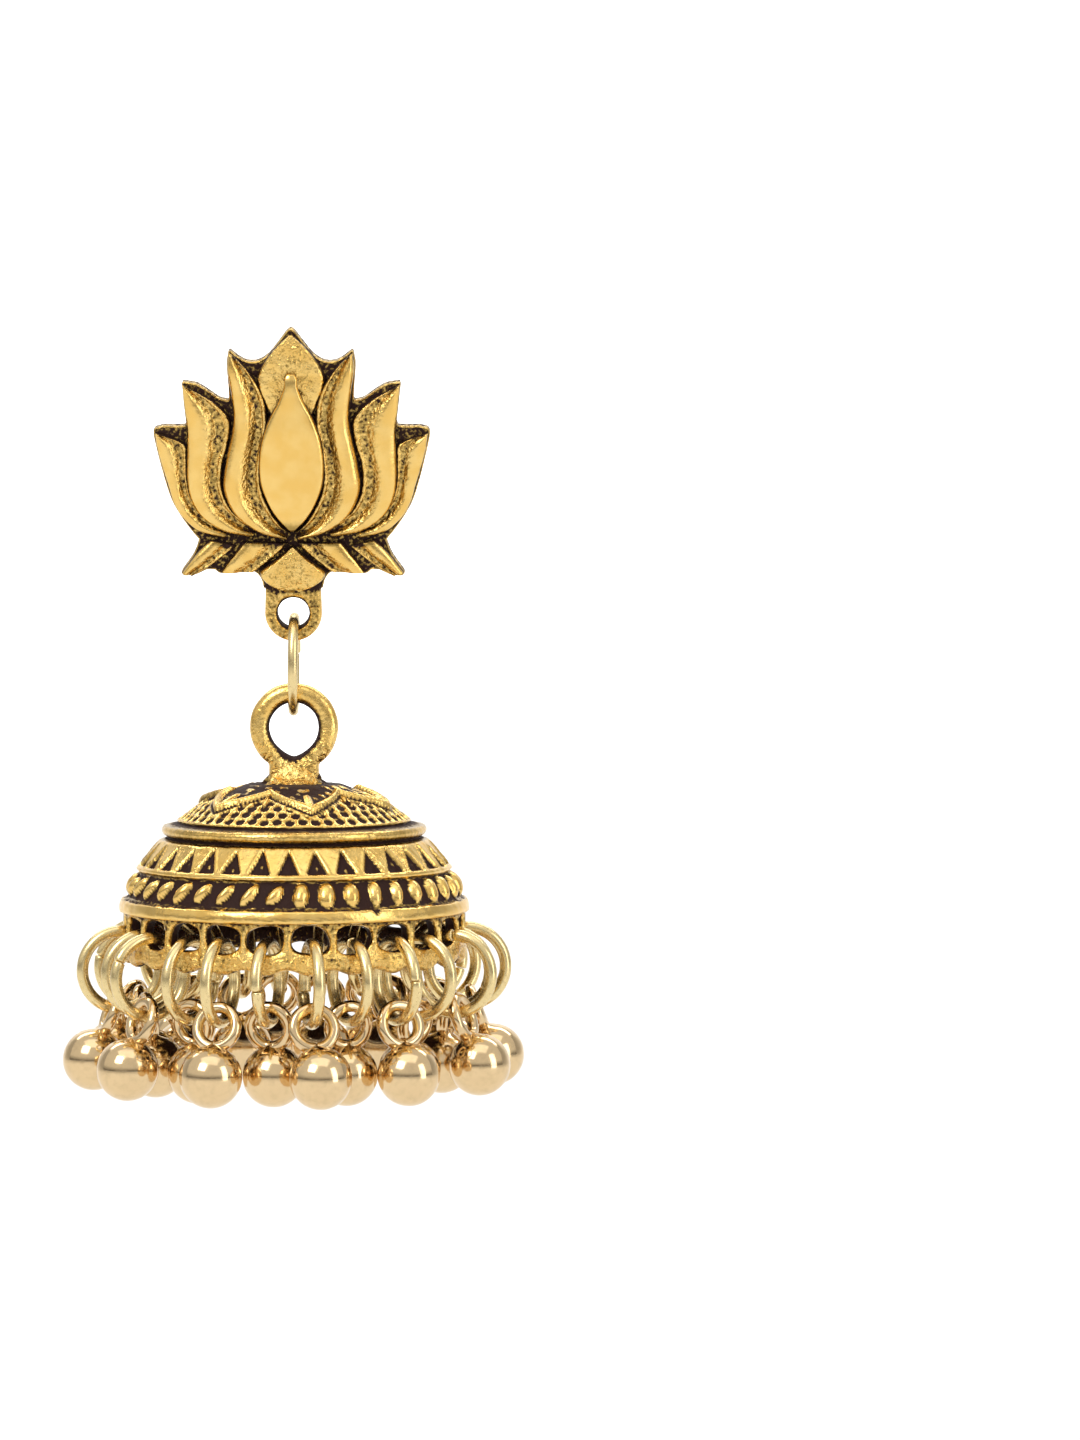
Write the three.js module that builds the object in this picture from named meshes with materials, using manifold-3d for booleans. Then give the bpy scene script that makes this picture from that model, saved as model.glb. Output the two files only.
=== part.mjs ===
// A drop earring of the jhumka kind, modelled as the assembly of separate pieces that it is.
// A cast lotus with an ear post carries an oval link, the link carries a hollow cast dome, and
// 24 jump rings through the dome's pierced rim carry 24 ball drops.
// Units are millimetres. +Z is up and the lotus faces -Y. The origin is the root of the ear post,
// at the middle of the lotus's back, where the earring sits on the lobe.

import * as THREE from 'three';
import { mergeVertices } from 'three/addons/utils/BufferGeometryUtils.js';
import Module from 'manifold-3d';

const wasm = await Module();
wasm.setup();

// Lotus stud: sizes
const LOTUS_HALF_WIDTH = 9.8;
const LOTUS_RISE = 8.65; // from the post up to the top petal's tip
const LOTUS_LEAN = 12; // degrees that the heavy lotus tips forward on the post
const PLATE_THICKNESS = 1.1;
const PLATE_SINK = 0.45; // how deep a petal's foot goes into the plate
const MAIN_CREST = 1.45; // how far the middle petal stands off the plate

// Hanging eye under the lotus
const EYE_RADIUS = 2.05;
const EYE_HOLE_RADIUS = 1.12;
const EYE_DROP = 12.0; // from the post down to the eye's centre
const EYE_THICKNESS = 1.6;
const EYE_ROUNDING = 0.3;
const EYE_SHOULDER = 2.3; // half width where the eye's cheeks meet the leaves
const EYE_ROOT = 9.2; // from the post down to that place

// Ear post and its clutch
const POST_RADIUS = 0.36;
const POST_LENGTH = 11.2;
const POST_PAD_RADIUS = 1.15;
const POST_NOTCH_DEPTH = 0.1;
const CLUTCH_RADIUS = 2.9;
const CLUTCH_LENGTH = 2.6;
const CLUTCH_PLACE = 5.4; // from the lotus's back to the clutch's near face
const CLUTCH_CLEARANCE = 0.3;

// Link between the lotus and the dome
const LINK_LENGTH = 7.4;
const LINK_WIDTH = 5.6;
const LINK_WIRE = 0.72;
const HANG_GAP = 0.22; // air left between two hooked pieces

// Dome
const LOOP_WIDTH = 6.35;
const LOOP_BAR = 1.43;
const LOOP_THICKNESS = 1.5;
const LOOP_ROUNDING = 0.4;
const LOOP_HOLE_HEIGHT = 3.86;
const LOOP_NECK_HALF = 1.95;
const LOOP_NECK_HEIGHT = 1.0;
const LOOP_FOOT_HALF = 2.6;
const LOOP_NECK_START = 30; // degrees below level where the loop's outside runs into its neck
const LOOP_POINT_START = 20; // degrees below level where its hole draws down to a point
const LOOP_TO_CROWN = 6.35; // from the middle of the loop's top bar down to the crown
const DOME_RADIUS = 12.5;
const DOME_HEIGHT = 12.9;
const DOME_WALL = 1.2;
const SCALLOP_DEPTH = 0.4;
const TRIANGLE_COUNT = 33;
const TRIANGLE_WIDTH = 1.3;
const TRIANGLE_HEIGHT = 0.8; // as a share of their band
const TRIANGLE_DEPTH = 0.35;
const GRAIN_COUNT = 40;
const GRAIN_LENGTH = 1.75;
const GRAIN_WIDTH = 0.85;
const GRAIN_HEIGHT = 0.42;
const LEFT_GRAIN_SLANT = 26; // degrees
const RIGHT_GRAIN_SLANT = 6;
const CHEVRON_COUNT = 6;
const CHEVRON_PHASE = -18; // degrees from the front to the nearest peak
const CHEVRON_PEAK = 0.06; // drops of their two ends, as shares of the dome's height
const CHEVRON_VALLEY = 0.165;
const CHEVRON_WIDTH = 0.55;
const CHEVRON_HEIGHT = 0.35;

// Pierced rim, its jump rings and the ball drops
const HOLE_COUNT = 24;
const HOLE_WIDTH = 2.3;
const HOLE_HEIGHT = 2.0;
const HOLE_GROWTH = 1.04; // so that a hole of eight sides is as open as a round one
const LIP_HEIGHT = 1.45; // metal under a hole
const RING_RADIUS = 2.775;
const RING_WIRE = 0.85;
const SEAT_GAP = 0.38;
const DROP_SLIDE = 0.6; // share of a drop's tilt that its eye slides up the ring
const BALL_RADIUS = 2.2;
const BALL_EYE_RADIUS = 1.425;
const BALL_EYE_WIRE = 0.84;
const BALL_NECK = 3.55; // from the eye's centre to the ball's centre

// Mesh fineness
const DOME_SIDES = 2 * HOLE_COUNT;
const PETAL_STATIONS = 7;
const WIRE_SIDES = 5;
const RING_STEPS = 10;
const LINK_SIDES = 6;
const LINK_STEPS = 16;
const POST_SIDES = 8;
const CLUTCH_SIDES = 10;
const HOLE_SIDES = 8;
const CURVE_STEPS = 5;
const SLIVER = 0.03;

// Outline of the lotus's back plate, right half from the top tip down to the eye,
// as shares of the half width and of the rise.
const PLATE_OUTLINE = [
  // [across, up]
  [0.0, 1.0],
  [0.06, 0.95],
  [0.23, 0.75],
  [0.4, 0.81],
  [0.455, 0.82],
  [0.47, 0.6],
  [0.49, 0.43],
  [0.62, 0.46],
  [0.79, 0.555],
  [0.765, 0.36],
  [0.75, 0.23],
  [0.87, 0.21],
  [1.0, 0.17],
  [0.955, -0.1],
  [0.9, -0.37],
  [0.83, -0.57],
  [0.73, -0.705],
  [0.68, -0.775],
  [0.725, -0.86],
  [0.815, -1.05],
  [0.74, -1.07],
  [0.58, -1.01],
  [0.525, -1.05],
  [0.3, -1.05],
  [0.235, -1.16],
];

// Side petals of one half, tip first. Each row is a section across the petal.
// Both edges are shares of the half width and of the rise, the crest is a share of MAIN_CREST.
const SIDE_PETALS = {
  outer: [
    // [outer edge across, up, inner edge across, up, crest]
    [0.985, 0.16, 0.925, 0.13, 0.45],
    [0.96, 0.0, 0.785, 0.05, 0.5],
    [0.92, -0.15, 0.755, -0.07, 0.5],
    [0.89, -0.3, 0.76, -0.21, 0.5],
    [0.85, -0.45, 0.74, -0.38, 0.5],
    [0.78, -0.575, 0.68, -0.505, 0.5],
    [0.66, -0.68, 0.57, -0.63, 0.45],
  ],
  middle: [
    [0.79, 0.545, 0.72, 0.53, 0.5],
    [0.765, 0.355, 0.575, 0.41, 0.62],
    [0.75, 0.17, 0.465, 0.28, 0.66],
    [0.755, -0.04, 0.48, 0.08, 0.68],
    [0.755, -0.235, 0.52, -0.125, 0.68],
    [0.73, -0.4, 0.53, -0.32, 0.68],
    [0.66, -0.55, 0.465, -0.49, 0.66],
    [0.5, -0.685, 0.35, -0.625, 0.6],
  ],
  inner: [
    [0.455, 0.82, 0.395, 0.79, 0.55],
    [0.437, 0.63, 0.275, 0.57, 0.75],
    [0.42, 0.44, 0.2, 0.4, 0.8],
    [0.415, 0.21, 0.19, 0.19, 0.85],
    [0.475, -0.1, 0.24, -0.13, 0.88],
    [0.488, -0.33, 0.225, -0.355, 0.9],
    [0.395, -0.525, 0.16, -0.525, 0.9],
    [0.235, -0.65, 0.095, -0.635, 0.88],
    [0.05, -0.72, 0.03, -0.69, 0.85],
  ],
  lowerOuter: [
    [0.8, -1.035, 0.755, -1.06, 0.4],
    [0.735, -0.955, 0.64, -1.005, 0.5],
    [0.64, -0.855, 0.53, -0.905, 0.5],
    [0.495, -0.75, 0.465, -0.82, 0.45],
  ],
  lowerInner: [
    [0.525, -1.015, 0.45, -1.02, 0.35],
    [0.485, -0.94, 0.255, -0.965, 0.5],
    [0.435, -0.855, 0.155, -0.87, 0.52],
    [0.37, -0.76, 0.075, -0.76, 0.5],
  ],
};

// Petals on the middle line, tip first.
const MIDDLE_PETALS = {
  back: [
    // [half width, up, crest]
    [0.015, 0.95, 0.25],
    [0.09, 0.885, 0.35],
    [0.165, 0.775, 0.4],
    [0.225, 0.68, 0.42],
    [0.2, 0.505, 0.45],
    [0.155, 0.335, 0.45],
  ],
  front: [
    [0.012, 0.665, 0.6],
    [0.05, 0.555, 0.8],
    [0.128, 0.38, 0.92],
    [0.19, 0.2, 1.0],
    [0.222, -0.025, 1.0],
    [0.214, -0.235, 1.0],
    [0.15, -0.425, 0.97],
    [0.06, -0.56, 0.9],
    [0.015, -0.6, 0.85],
  ],
  lower: [
    [0.01, -0.82, 0.55],
    [0.097, -0.905, 0.65],
    [0.189, -0.98, 0.7],
    [0.24, -1.03, 0.7],
    [0.222, -1.09, 0.68],
    [0.15, -1.15, 0.62],
    [0.03, -1.2, 0.5],
  ],
};

// Shape across a petal: share of the way from the outer edge to the inner one, and share of the crest.
const RIDGED = [
  [0.0, 0.5],
  [0.3, 1.0],
  [0.68, 0.5],
  [1.0, 0.6],
];
const CROWNED = [
  [0.0, 0.5],
  [0.22, 0.85],
  [0.5, 1.0],
  [0.78, 0.85],
  [1.0, 0.5],
];

// Outer face of the dome from the crown down: share of the radius, share of the height.
const DOME_OUTSIDE = {
  crown: [0.0, 0.0],
  shoulder: [0.28, 0.015],
  slope: [0.53, 0.11],
  crownEdge: [0.67, 0.21],
  crownCut: [0.655, 0.225],
  ridgeHigh: [0.744, 0.24],
  ridgeLow: [0.744, 0.3],
  ridgeCut: [0.72, 0.32],
  bandTop: [0.776, 0.334],
  bandLow: [0.905, 0.49],
  floorTop: [0.885, 0.515],
  floorLow: [0.955, 0.642],
  girdleTop: [0.996, 0.656],
  girdleLow: [1.0, 0.724],
  rimTop: [0.98, 0.735],
  lip: [0.985, 1.0],
};

// Profile of the clutch: share of its radius, share of its length.
const CLUTCH_PROFILE = [
  [0.92, 0.0],
  [1.0, 0.15],
  [0.92, 0.3],
  [0.62, 0.39],
  [0.62, 0.8],
  [0.43, 1.0],
];

// Profile of the ear post after its pad: radius less this share of the notch's depth, and place
// along the post as a share of its length.
const POST_PROFILE = [
  [0.0, 0.067],
  [0.0, 0.77],
  [1.0, 0.785],
  [1.0, 0.82],
  [0.0, 0.84],
  [0.0, 0.98],
  [1.6, 1.0],
];

// Inner face of the dome from the rim up to the crown: shares of the inner radius and inner height.
const DOME_INSIDE = [
  [1.0, 1.0],
  [0.99, 0.68],
  [0.87, 0.44],
  [0.67, 0.22],
  [0.3, 0.03],
  [0.0, 0.0],
];

// How each ring and its drop hang, from the back left round the front, in degrees.
// swing: the ring outward. turn: the ring about the vertical.
// tilt: the drop outward. sway: the drop sideways.
const HANGING = [
  // [swing, turn, tilt, sway]
  [13, 4, 20, 0],
  [-10, -5, -8, 1],
  [12, 6, 20, -1],
  [-10, 3, -9, 0],
  [13, -4, 19, 1],
  [-9, 5, -8, -1],
  [13, 6, 21, 1],
  [-10, -6, -8, 0],
  [12, -5, 19, -1],
  [-10, 4, -9, 0],
  [13, 3, 19, 0],
  [-10, -7, -9, 2],
  [12, 6, 18, 4],
  [-10, 5, -9, 2],
  [12, -6, 17, 1],
  [-9, 4, -8, 0],
  [12, 5, 20, 0],
  [-9, -5, -8, 1],
  [13, -4, 20, 0],
  [-10, 6, -8, -1],
  [12, 5, 19, 0],
  [-10, -4, -9, 0],
  [13, 3, 20, 1],
  [-9, 5, -8, 0],
];

const radians = THREE.MathUtils.degToRad;

const FINISHES = {
  gold: new THREE.MeshStandardMaterial({ color: 0xc99a45, roughness: 0.35, metalness: 1 }),
  brass: new THREE.MeshStandardMaterial({ color: 0xc4ab68, roughness: 0.25, metalness: 1 }),
  champagne: new THREE.MeshStandardMaterial({ color: 0xd0a87a, roughness: 0.12, metalness: 1 }),
  clear: new THREE.MeshStandardMaterial({ color: 0xe8eef0, roughness: 0.1, metalness: 0 }),
};

// A closed geometry as a solid for joins and cuts.
function solidOf(geometry) {
  const plain = geometry.index ? geometry.clone() : geometry;
  for (const name of ['normal', 'uv']) plain.deleteAttribute(name);
  const merged = mergeVertices(plain, 1e-4);
  const vertProperties = new Float32Array(merged.attributes.position.array);
  const triVerts = new Uint32Array(merged.index.array);
  return new wasm.Manifold(new wasm.Mesh({ numProp: 3, vertProperties, triVerts }));
}

// The solid's surface as a geometry again, without the slivers that joins and cuts leave.
function geometryOf(solid) {
  const mesh = solid.simplify(SLIVER).getMesh();
  const geometry = new THREE.BufferGeometry();
  geometry.setAttribute('position', new THREE.BufferAttribute(mesh.vertProperties, 3));
  geometry.setIndex(new THREE.BufferAttribute(mesh.triVerts, 1));
  geometry.computeVertexNormals();
  return geometry;
}

function joined(geometries) {
  return geometries.map(solidOf).reduce((whole, piece) => whole.add(piece));
}

// The outer surface alone: pockets sealed in where raised pieces lean together are cast solid.
function filled(solid) {
  const surfaces = solid.decompose();
  return surfaces.reduce((largest, each) => (each.volume() > largest.volume() ? each : largest));
}

// Six times the volume inside a triangle list. It is negative when the faces point in.
function signedVolume(points, index) {
  let sum = 0;
  for (let item = 0; item < index.length; item += 3) {
    const [a, b, c] = [points[index[item]], points[index[item + 1]], points[index[item + 2]]];
    sum += a.dot(b.clone().cross(c));
  }
  return sum;
}

// A body lofted through closed sections of equal point counts, capped at both ends.
function loft(sections) {
  const around = sections[0].length;
  const points = sections.flat();
  const index = [];
  for (let row = 0; row + 1 < sections.length; row += 1) {
    for (let step = 0; step < around; step += 1) {
      const a = row * around + step;
      const b = row * around + ((step + 1) % around);
      index.push(a, b, a + around, b, b + around, a + around);
    }
  }
  const last = (sections.length - 1) * around;
  for (let step = 1; step + 1 < around; step += 1) {
    index.push(0, step + 1, step);
    index.push(last, last + step, last + step + 1);
  }
  if (signedVolume(points, index) < 0) index.reverse();
  const geometry = new THREE.BufferGeometry().setFromPoints(points);
  geometry.setIndex(index);
  return geometry;
}

// One petal from its two edges and crest heights. side is 1 for the right half and -1 for the left.
function petal(rows, across, side) {
  const outer = rows.map(([ox, oz]) => new THREE.Vector3(ox, 0, oz));
  const inner = rows.map(([, , ix, iz, crest]) => new THREE.Vector3(ix, crest, iz));
  const outerCurve = new THREE.CatmullRomCurve3(outer);
  const innerCurve = new THREE.CatmullRomCurve3(inner);
  const foot = -(PLATE_THICKNESS - PLATE_SINK);
  const stations = Math.min(PETAL_STATIONS, rows.length);
  const sections = [];
  for (let station = 0; station <= stations; station += 1) {
    const outerPoint = outerCurve.getPoint(station / stations);
    const innerPoint = innerCurve.getPoint(station / stations);
    const crest = innerPoint.y * MAIN_CREST;
    const place = (share, depth) =>
      new THREE.Vector3(
        side * LOTUS_HALF_WIDTH * THREE.MathUtils.lerp(outerPoint.x, innerPoint.x, share),
        depth,
        LOTUS_RISE * THREE.MathUtils.lerp(outerPoint.z, innerPoint.z, share),
      );
    const section = across.map(([share, rise]) => place(share, -PLATE_THICKNESS - rise * crest));
    section.unshift(place(0, foot));
    section.push(place(1, foot));
    sections.push(section);
  }
  return loft(sections);
}

// A petal on the middle line is the same body with mirrored edges.
function middlePetal(rows) {
  return petal(rows.map(([half, up, crest]) => [half, up, -half, up, crest]), CROWNED, 1);
}

// An extruded plate whose front faces -Y and whose back lies at y = 0.
function standingPlate(shape, thickness, rounding, rounds) {
  const geometry = new THREE.ExtrudeGeometry(shape, {
    depth: thickness - 2 * rounding,
    bevelEnabled: rounding > 0,
    bevelThickness: rounding,
    bevelSize: rounding,
    bevelOffset: -rounding,
    bevelSegments: rounds,
    curveSegments: CURVE_STEPS,
  });
  return geometry.translate(0, 0, rounding).rotateX(Math.PI / 2);
}

function plateShape() {
  const right = PLATE_OUTLINE.map(([x, z]) => [x * LOTUS_HALF_WIDTH, z * LOTUS_RISE]);
  const left = right.slice(1).reverse().map(([x, z]) => [-x, z]);
  return new THREE.Shape([...right, ...left].map(([x, z]) => new THREE.Vector2(x, z)));
}

// The eye is a thick ring with shoulders that run up into the plate.
function eyeShape() {
  const shape = new THREE.Shape();
  shape.moveTo(-EYE_SHOULDER, -EYE_ROOT);
  shape.lineTo(-EYE_RADIUS, -EYE_DROP);
  shape.absarc(0, -EYE_DROP, EYE_RADIUS, Math.PI, 2 * Math.PI, false);
  shape.lineTo(EYE_SHOULDER, -EYE_ROOT);
  shape.closePath();
  const hole = new THREE.Path();
  hole.absarc(0, -EYE_DROP, EYE_HOLE_RADIUS, 0, 2 * Math.PI, true);
  shape.holes.push(hole);
  return shape;
}

// The post with its solder pad, turned about the Y axis, with a notch where the clutch grips.
function postGeometry() {
  const wire = POST_PROFILE.map(([cut, along]) => [
    POST_RADIUS - cut * POST_NOTCH_DEPTH,
    along * POST_LENGTH,
  ]);
  const profile = [
    [0, -PLATE_THICKNESS / 2],
    [POST_PAD_RADIUS, -PLATE_THICKNESS / 2],
    [POST_PAD_RADIUS, POST_RADIUS / 2],
    ...wire,
    [0, POST_LENGTH],
  ];
  return new THREE.LatheGeometry(profile.map(([r, y]) => new THREE.Vector2(r, y)), POST_SIDES);
}

function lotusGeometry() {
  const petals = [];
  for (const rows of Object.values(SIDE_PETALS)) {
    petals.push(petal(rows, RIDGED, 1), petal(rows, RIDGED, -1));
  }
  for (const rows of Object.values(MIDDLE_PETALS)) petals.push(middlePetal(rows));
  const plate = standingPlate(plateShape(), PLATE_THICKNESS, 0, 0);
  const eye = standingPlate(eyeShape(), EYE_THICKNESS, EYE_ROUNDING, 1);
  return geometryOf(filled(joined([plate, eye, postGeometry(), ...petals])));
}

// A flanged clear barrel with a bore for the post.
function clutchGeometry() {
  const bore = POST_RADIUS + CLUTCH_CLEARANCE;
  const profile = [
    [bore, 0],
    ...CLUTCH_PROFILE.map(([r, y]) => [r * CLUTCH_RADIUS, y * CLUTCH_LENGTH]),
    [bore, CLUTCH_LENGTH],
    [bore, 0],
  ];
  return new THREE.LatheGeometry(profile.map(([r, y]) => new THREE.Vector2(r, y)), CLUTCH_SIDES);
}

// A wire ring round the X axis, stretched to an oval whose long way is Z. Width and height are
// measured between the wire's centres.
function wireRing(width, height, wire, sides, segments) {
  const ring = new THREE.TorusGeometry(1, wire / 2, sides, segments).rotateY(Math.PI / 2);
  const points = ring.attributes.position;
  for (let item = 0; item < points.count; item += 1) {
    const [x, y, z] = [points.getX(item), points.getY(item), points.getZ(item)];
    const reach = Math.hypot(y, z);
    const thick = reach - 1;
    points.setXYZ(item, x, (y / reach) * (width / 2 + thick), (z / reach) * (height / 2 + thick));
  }
  return ring;
}

// Radius of the dome's outer face at a share of its height.
function domeRadiusAt(drop) {
  const rows = Object.values(DOME_OUTSIDE);
  const next = rows.findIndex(([, z]) => z > drop);
  const [[r0, z0], [r1, z1]] = [rows[next - 1], rows[next]];
  return DOME_RADIUS * THREE.MathUtils.mapLinear(drop, z0, z1, r0, r1);
}

// The hollow shell, turned from its closed profile, with the lip let down under each hole.
function shellGeometry() {
  const innerRadius = DOME_RADIUS - DOME_WALL;
  const innerHeight = DOME_HEIGHT - DOME_WALL;
  const outside = Object.values(DOME_OUTSIDE).map(([r, z]) => [r * DOME_RADIUS, z * DOME_HEIGHT]);
  const inside = DOME_INSIDE.map(([r, z]) => [r * innerRadius, DOME_WALL + z * innerHeight]);
  const profile = [...inside.reverse(), ...outside.reverse()];
  const points = profile.map(([r, z]) => new THREE.Vector2(r, -z));
  const shell = new THREE.LatheGeometry(points, DOME_SIDES).rotateX(Math.PI / 2);
  const place = shell.attributes.position;
  const lipTop = -DOME_HEIGHT + LIP_HEIGHT / 2;
  for (let item = 0; item < place.count; item += 1) {
    const angle = Math.atan2(place.getX(item), -place.getY(item));
    const lift = SCALLOP_DEPTH * (0.5 + 0.5 * Math.cos(HOLE_COUNT * angle));
    if (place.getZ(item) < lipTop) place.setZ(item, place.getZ(item) + lift);
  }
  return shell;
}

// Puts a geometry built about the front line (-Y) at an angle round the dome.
function turned(geometry, degrees) {
  return geometry.rotateZ(radians(degrees));
}

function holeCutters() {
  const middle = -DOME_HEIGHT + LIP_HEIGHT + HOLE_HEIGHT / 2;
  const cutters = [];
  for (let hole = 0; hole < HOLE_COUNT; hole += 1) {
    const cutter = new THREE.CylinderGeometry(0.5, 0.5, 3 * DOME_WALL, HOLE_SIDES);
    cutter.rotateY(Math.PI / HOLE_SIDES).scale(HOLE_WIDTH * HOLE_GROWTH, 1, HOLE_HEIGHT * HOLE_GROWTH);
    cutter.translate(0, -DOME_RADIUS + DOME_WALL / 2, middle);
    cutters.push(turned(cutter, holeAngle(hole)));
  }
  return cutters;
}

// Angle of a hole from the front, in degrees. The holes straddle the front line.
function holeAngle(hole) {
  return (hole + 0.5) * (360 / HOLE_COUNT) - 180;
}

// Places a piece on a slanted band. Its own -Y then points straight out of the band.
function onBand(geometry, [topRadius, topDrop], [lowRadius, lowDrop], degrees) {
  const run = DOME_RADIUS * (lowRadius - topRadius);
  const fall = DOME_HEIGHT * (lowDrop - topDrop);
  geometry.rotateX(-Math.atan2(run, fall));
  const radius = (DOME_RADIUS * (topRadius + lowRadius)) / 2;
  const height = (-DOME_HEIGHT * (topDrop + lowDrop)) / 2;
  return turned(geometry.translate(0, -radius, height), degrees);
}

function triangleCutters() {
  const { bandTop, bandLow } = DOME_OUTSIDE;
  const height = Math.hypot(
    DOME_RADIUS * (bandLow[0] - bandTop[0]),
    DOME_HEIGHT * (bandLow[1] - bandTop[1]),
  );
  const reach = (TRIANGLE_HEIGHT * height) / 2;
  const shape = new THREE.Shape([
    new THREE.Vector2(-TRIANGLE_WIDTH / 2, -reach),
    new THREE.Vector2(TRIANGLE_WIDTH / 2, -reach),
    new THREE.Vector2(0, reach),
  ]);
  const cutters = [];
  for (let item = 0; item < TRIANGLE_COUNT; item += 1) {
    const prism = new THREE.ExtrudeGeometry(shape, { depth: 3 * TRIANGLE_DEPTH, bevelEnabled: false });
    prism.rotateX(Math.PI / 2).translate(0, TRIANGLE_DEPTH, 0);
    cutters.push(onBand(prism, bandTop, bandLow, (item * 360) / TRIANGLE_COUNT));
  }
  return cutters;
}

// Raised grains in the dark band. Those on the left slant, those on the right stand upright.
function grains() {
  const { floorTop, floorLow } = DOME_OUTSIDE;
  const pieces = [];
  for (let item = 0; item < GRAIN_COUNT; item += 1) {
    const degrees = ((item + 0.5) * 360) / GRAIN_COUNT - 180;
    const slant = degrees < 0 ? LEFT_GRAIN_SLANT : RIGHT_GRAIN_SLANT;
    const grain = new THREE.OctahedronGeometry(0.5);
    grain.scale(GRAIN_WIDTH, 2 * GRAIN_HEIGHT, GRAIN_LENGTH).rotateY(radians(slant));
    pieces.push(onBand(grain, floorTop, floorLow, degrees));
  }
  return pieces;
}

// A straight rib between two points of the crown.
function rib(from, to) {
  const length = from.distanceTo(to) + CHEVRON_WIDTH / 2;
  const bar = new THREE.BoxGeometry(CHEVRON_WIDTH, 2 * CHEVRON_HEIGHT, length);
  const frame = new THREE.Matrix4().lookAt(from, to, from.clone().setZ(0));
  frame.setPosition(from.clone().lerp(to, 0.5));
  return bar.applyMatrix4(frame);
}

// Point on the crown's outer face at an angle from the front and a share of the dome's height.
function crownPoint(degrees, drop) {
  const radius = domeRadiusAt(drop);
  const angle = radians(degrees);
  return new THREE.Vector3(radius * Math.sin(angle), -radius * Math.cos(angle), -drop * DOME_HEIGHT);
}

function chevrons() {
  const half = 180 / CHEVRON_COUNT;
  const pieces = [];
  for (let item = 0; item < CHEVRON_COUNT; item += 1) {
    const peak = CHEVRON_PHASE + (item * 360) / CHEVRON_COUNT;
    const top = crownPoint(peak, CHEVRON_PEAK);
    pieces.push(rib(top, crownPoint(peak - half, CHEVRON_VALLEY)));
    pieces.push(rib(top, crownPoint(peak + half, CHEVRON_VALLEY)));
  }
  return pieces;
}

// The loop stands on the crown. Its top bar's centre is the origin here.
function loopShape() {
  const outer = LOOP_WIDTH / 2;
  const hole = outer - LOOP_BAR;
  const centre = LOOP_BAR / 2 - outer;
  const holeFoot = -LOOP_BAR / 2 - LOOP_HOLE_HEIGHT;
  const foot = -LOOP_TO_CROWN - DOME_WALL / 2;
  const neckTop = -LOOP_TO_CROWN + LOOP_NECK_HEIGHT;
  const shape = new THREE.Shape();
  shape.absarc(0, centre, outer, radians(-LOOP_NECK_START), radians(180 + LOOP_NECK_START), false);
  shape.lineTo(-LOOP_NECK_HALF, neckTop);
  shape.lineTo(-LOOP_FOOT_HALF, foot);
  shape.lineTo(LOOP_FOOT_HALF, foot);
  shape.lineTo(LOOP_NECK_HALF, neckTop);
  shape.closePath();
  const opening = new THREE.Path();
  opening.absarc(0, centre, hole, radians(180 + LOOP_POINT_START), radians(-LOOP_POINT_START), true);
  opening.lineTo(0, holeFoot);
  opening.closePath();
  shape.holes.push(opening);
  return shape;
}

function domeGeometry() {
  const loop = standingPlate(loopShape(), LOOP_THICKNESS, LOOP_ROUNDING, 1);
  loop.translate(0, LOOP_THICKNESS / 2, LOOP_TO_CROWN);
  const raised = joined([shellGeometry(), loop, ...grains(), ...chevrons()]);
  const cutters = joined([...holeCutters(), ...triangleCutters()]);
  return geometryOf(filled(raised.subtract(cutters))).translate(0, 0, -LOOP_TO_CROWN);
}

// A ball with its eye. The origin is the centre of the ring wire that the eye hooks over.
function ballDropGeometry() {
  const hook = RING_WIRE / 2 + BALL_EYE_WIRE / 2 + HANG_GAP;
  const eye = wireRing(2 * BALL_EYE_RADIUS, 2 * BALL_EYE_RADIUS, BALL_EYE_WIRE, WIRE_SIDES, RING_STEPS);
  eye.rotateZ(Math.PI / 2);
  const ball = new THREE.IcosahedronGeometry(BALL_RADIUS, 1);
  ball.translate(0, 0, -BALL_NECK);
  return geometryOf(joined([eye, ball])).translate(0, 0, hook - BALL_EYE_RADIUS);
}

function mesh(name, geometry, finish) {
  const piece = new THREE.Mesh(geometry, finish);
  piece.name = name;
  return piece;
}

const twoDigits = (number) => String(number).padStart(2, '0');

const earring = new THREE.Group();

// Stud and clutch share the lotus's forward lean.
const lean = radians(LOTUS_LEAN);
const stud = new THREE.Group();
stud.rotation.x = lean;
stud.add(mesh('lotus_stud', lotusGeometry(), FINISHES.gold));
const clutch = mesh('post_clutch', clutchGeometry(), FINISHES.clear);
clutch.position.y = CLUTCH_PLACE;
stud.add(clutch);
earring.add(stud);

// The link hangs in the eye, on the inside of its lower bar.
const barBack = new THREE.Vector3(0, -EYE_ROUNDING, -EYE_DROP - EYE_HOLE_RADIUS);
barBack.applyAxisAngle(new THREE.Vector3(1, 0, 0), lean);
const eyeMiddle = new THREE.Vector3(0, -EYE_THICKNESS / 2, -EYE_DROP - EYE_HOLE_RADIUS);
eyeMiddle.applyAxisAngle(new THREE.Vector3(1, 0, 0), lean);
const linkTop = barBack.z + HANG_GAP + LINK_WIRE / 2;
const link = mesh(
  'link_ring',
  wireRing(LINK_WIDTH - LINK_WIRE, LINK_LENGTH - LINK_WIRE, LINK_WIRE, LINK_SIDES, LINK_STEPS),
  FINISHES.brass,
);
link.position.set(0, eyeMiddle.y, linkTop - (LINK_LENGTH - LINK_WIRE) / 2);
earring.add(link);

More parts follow.
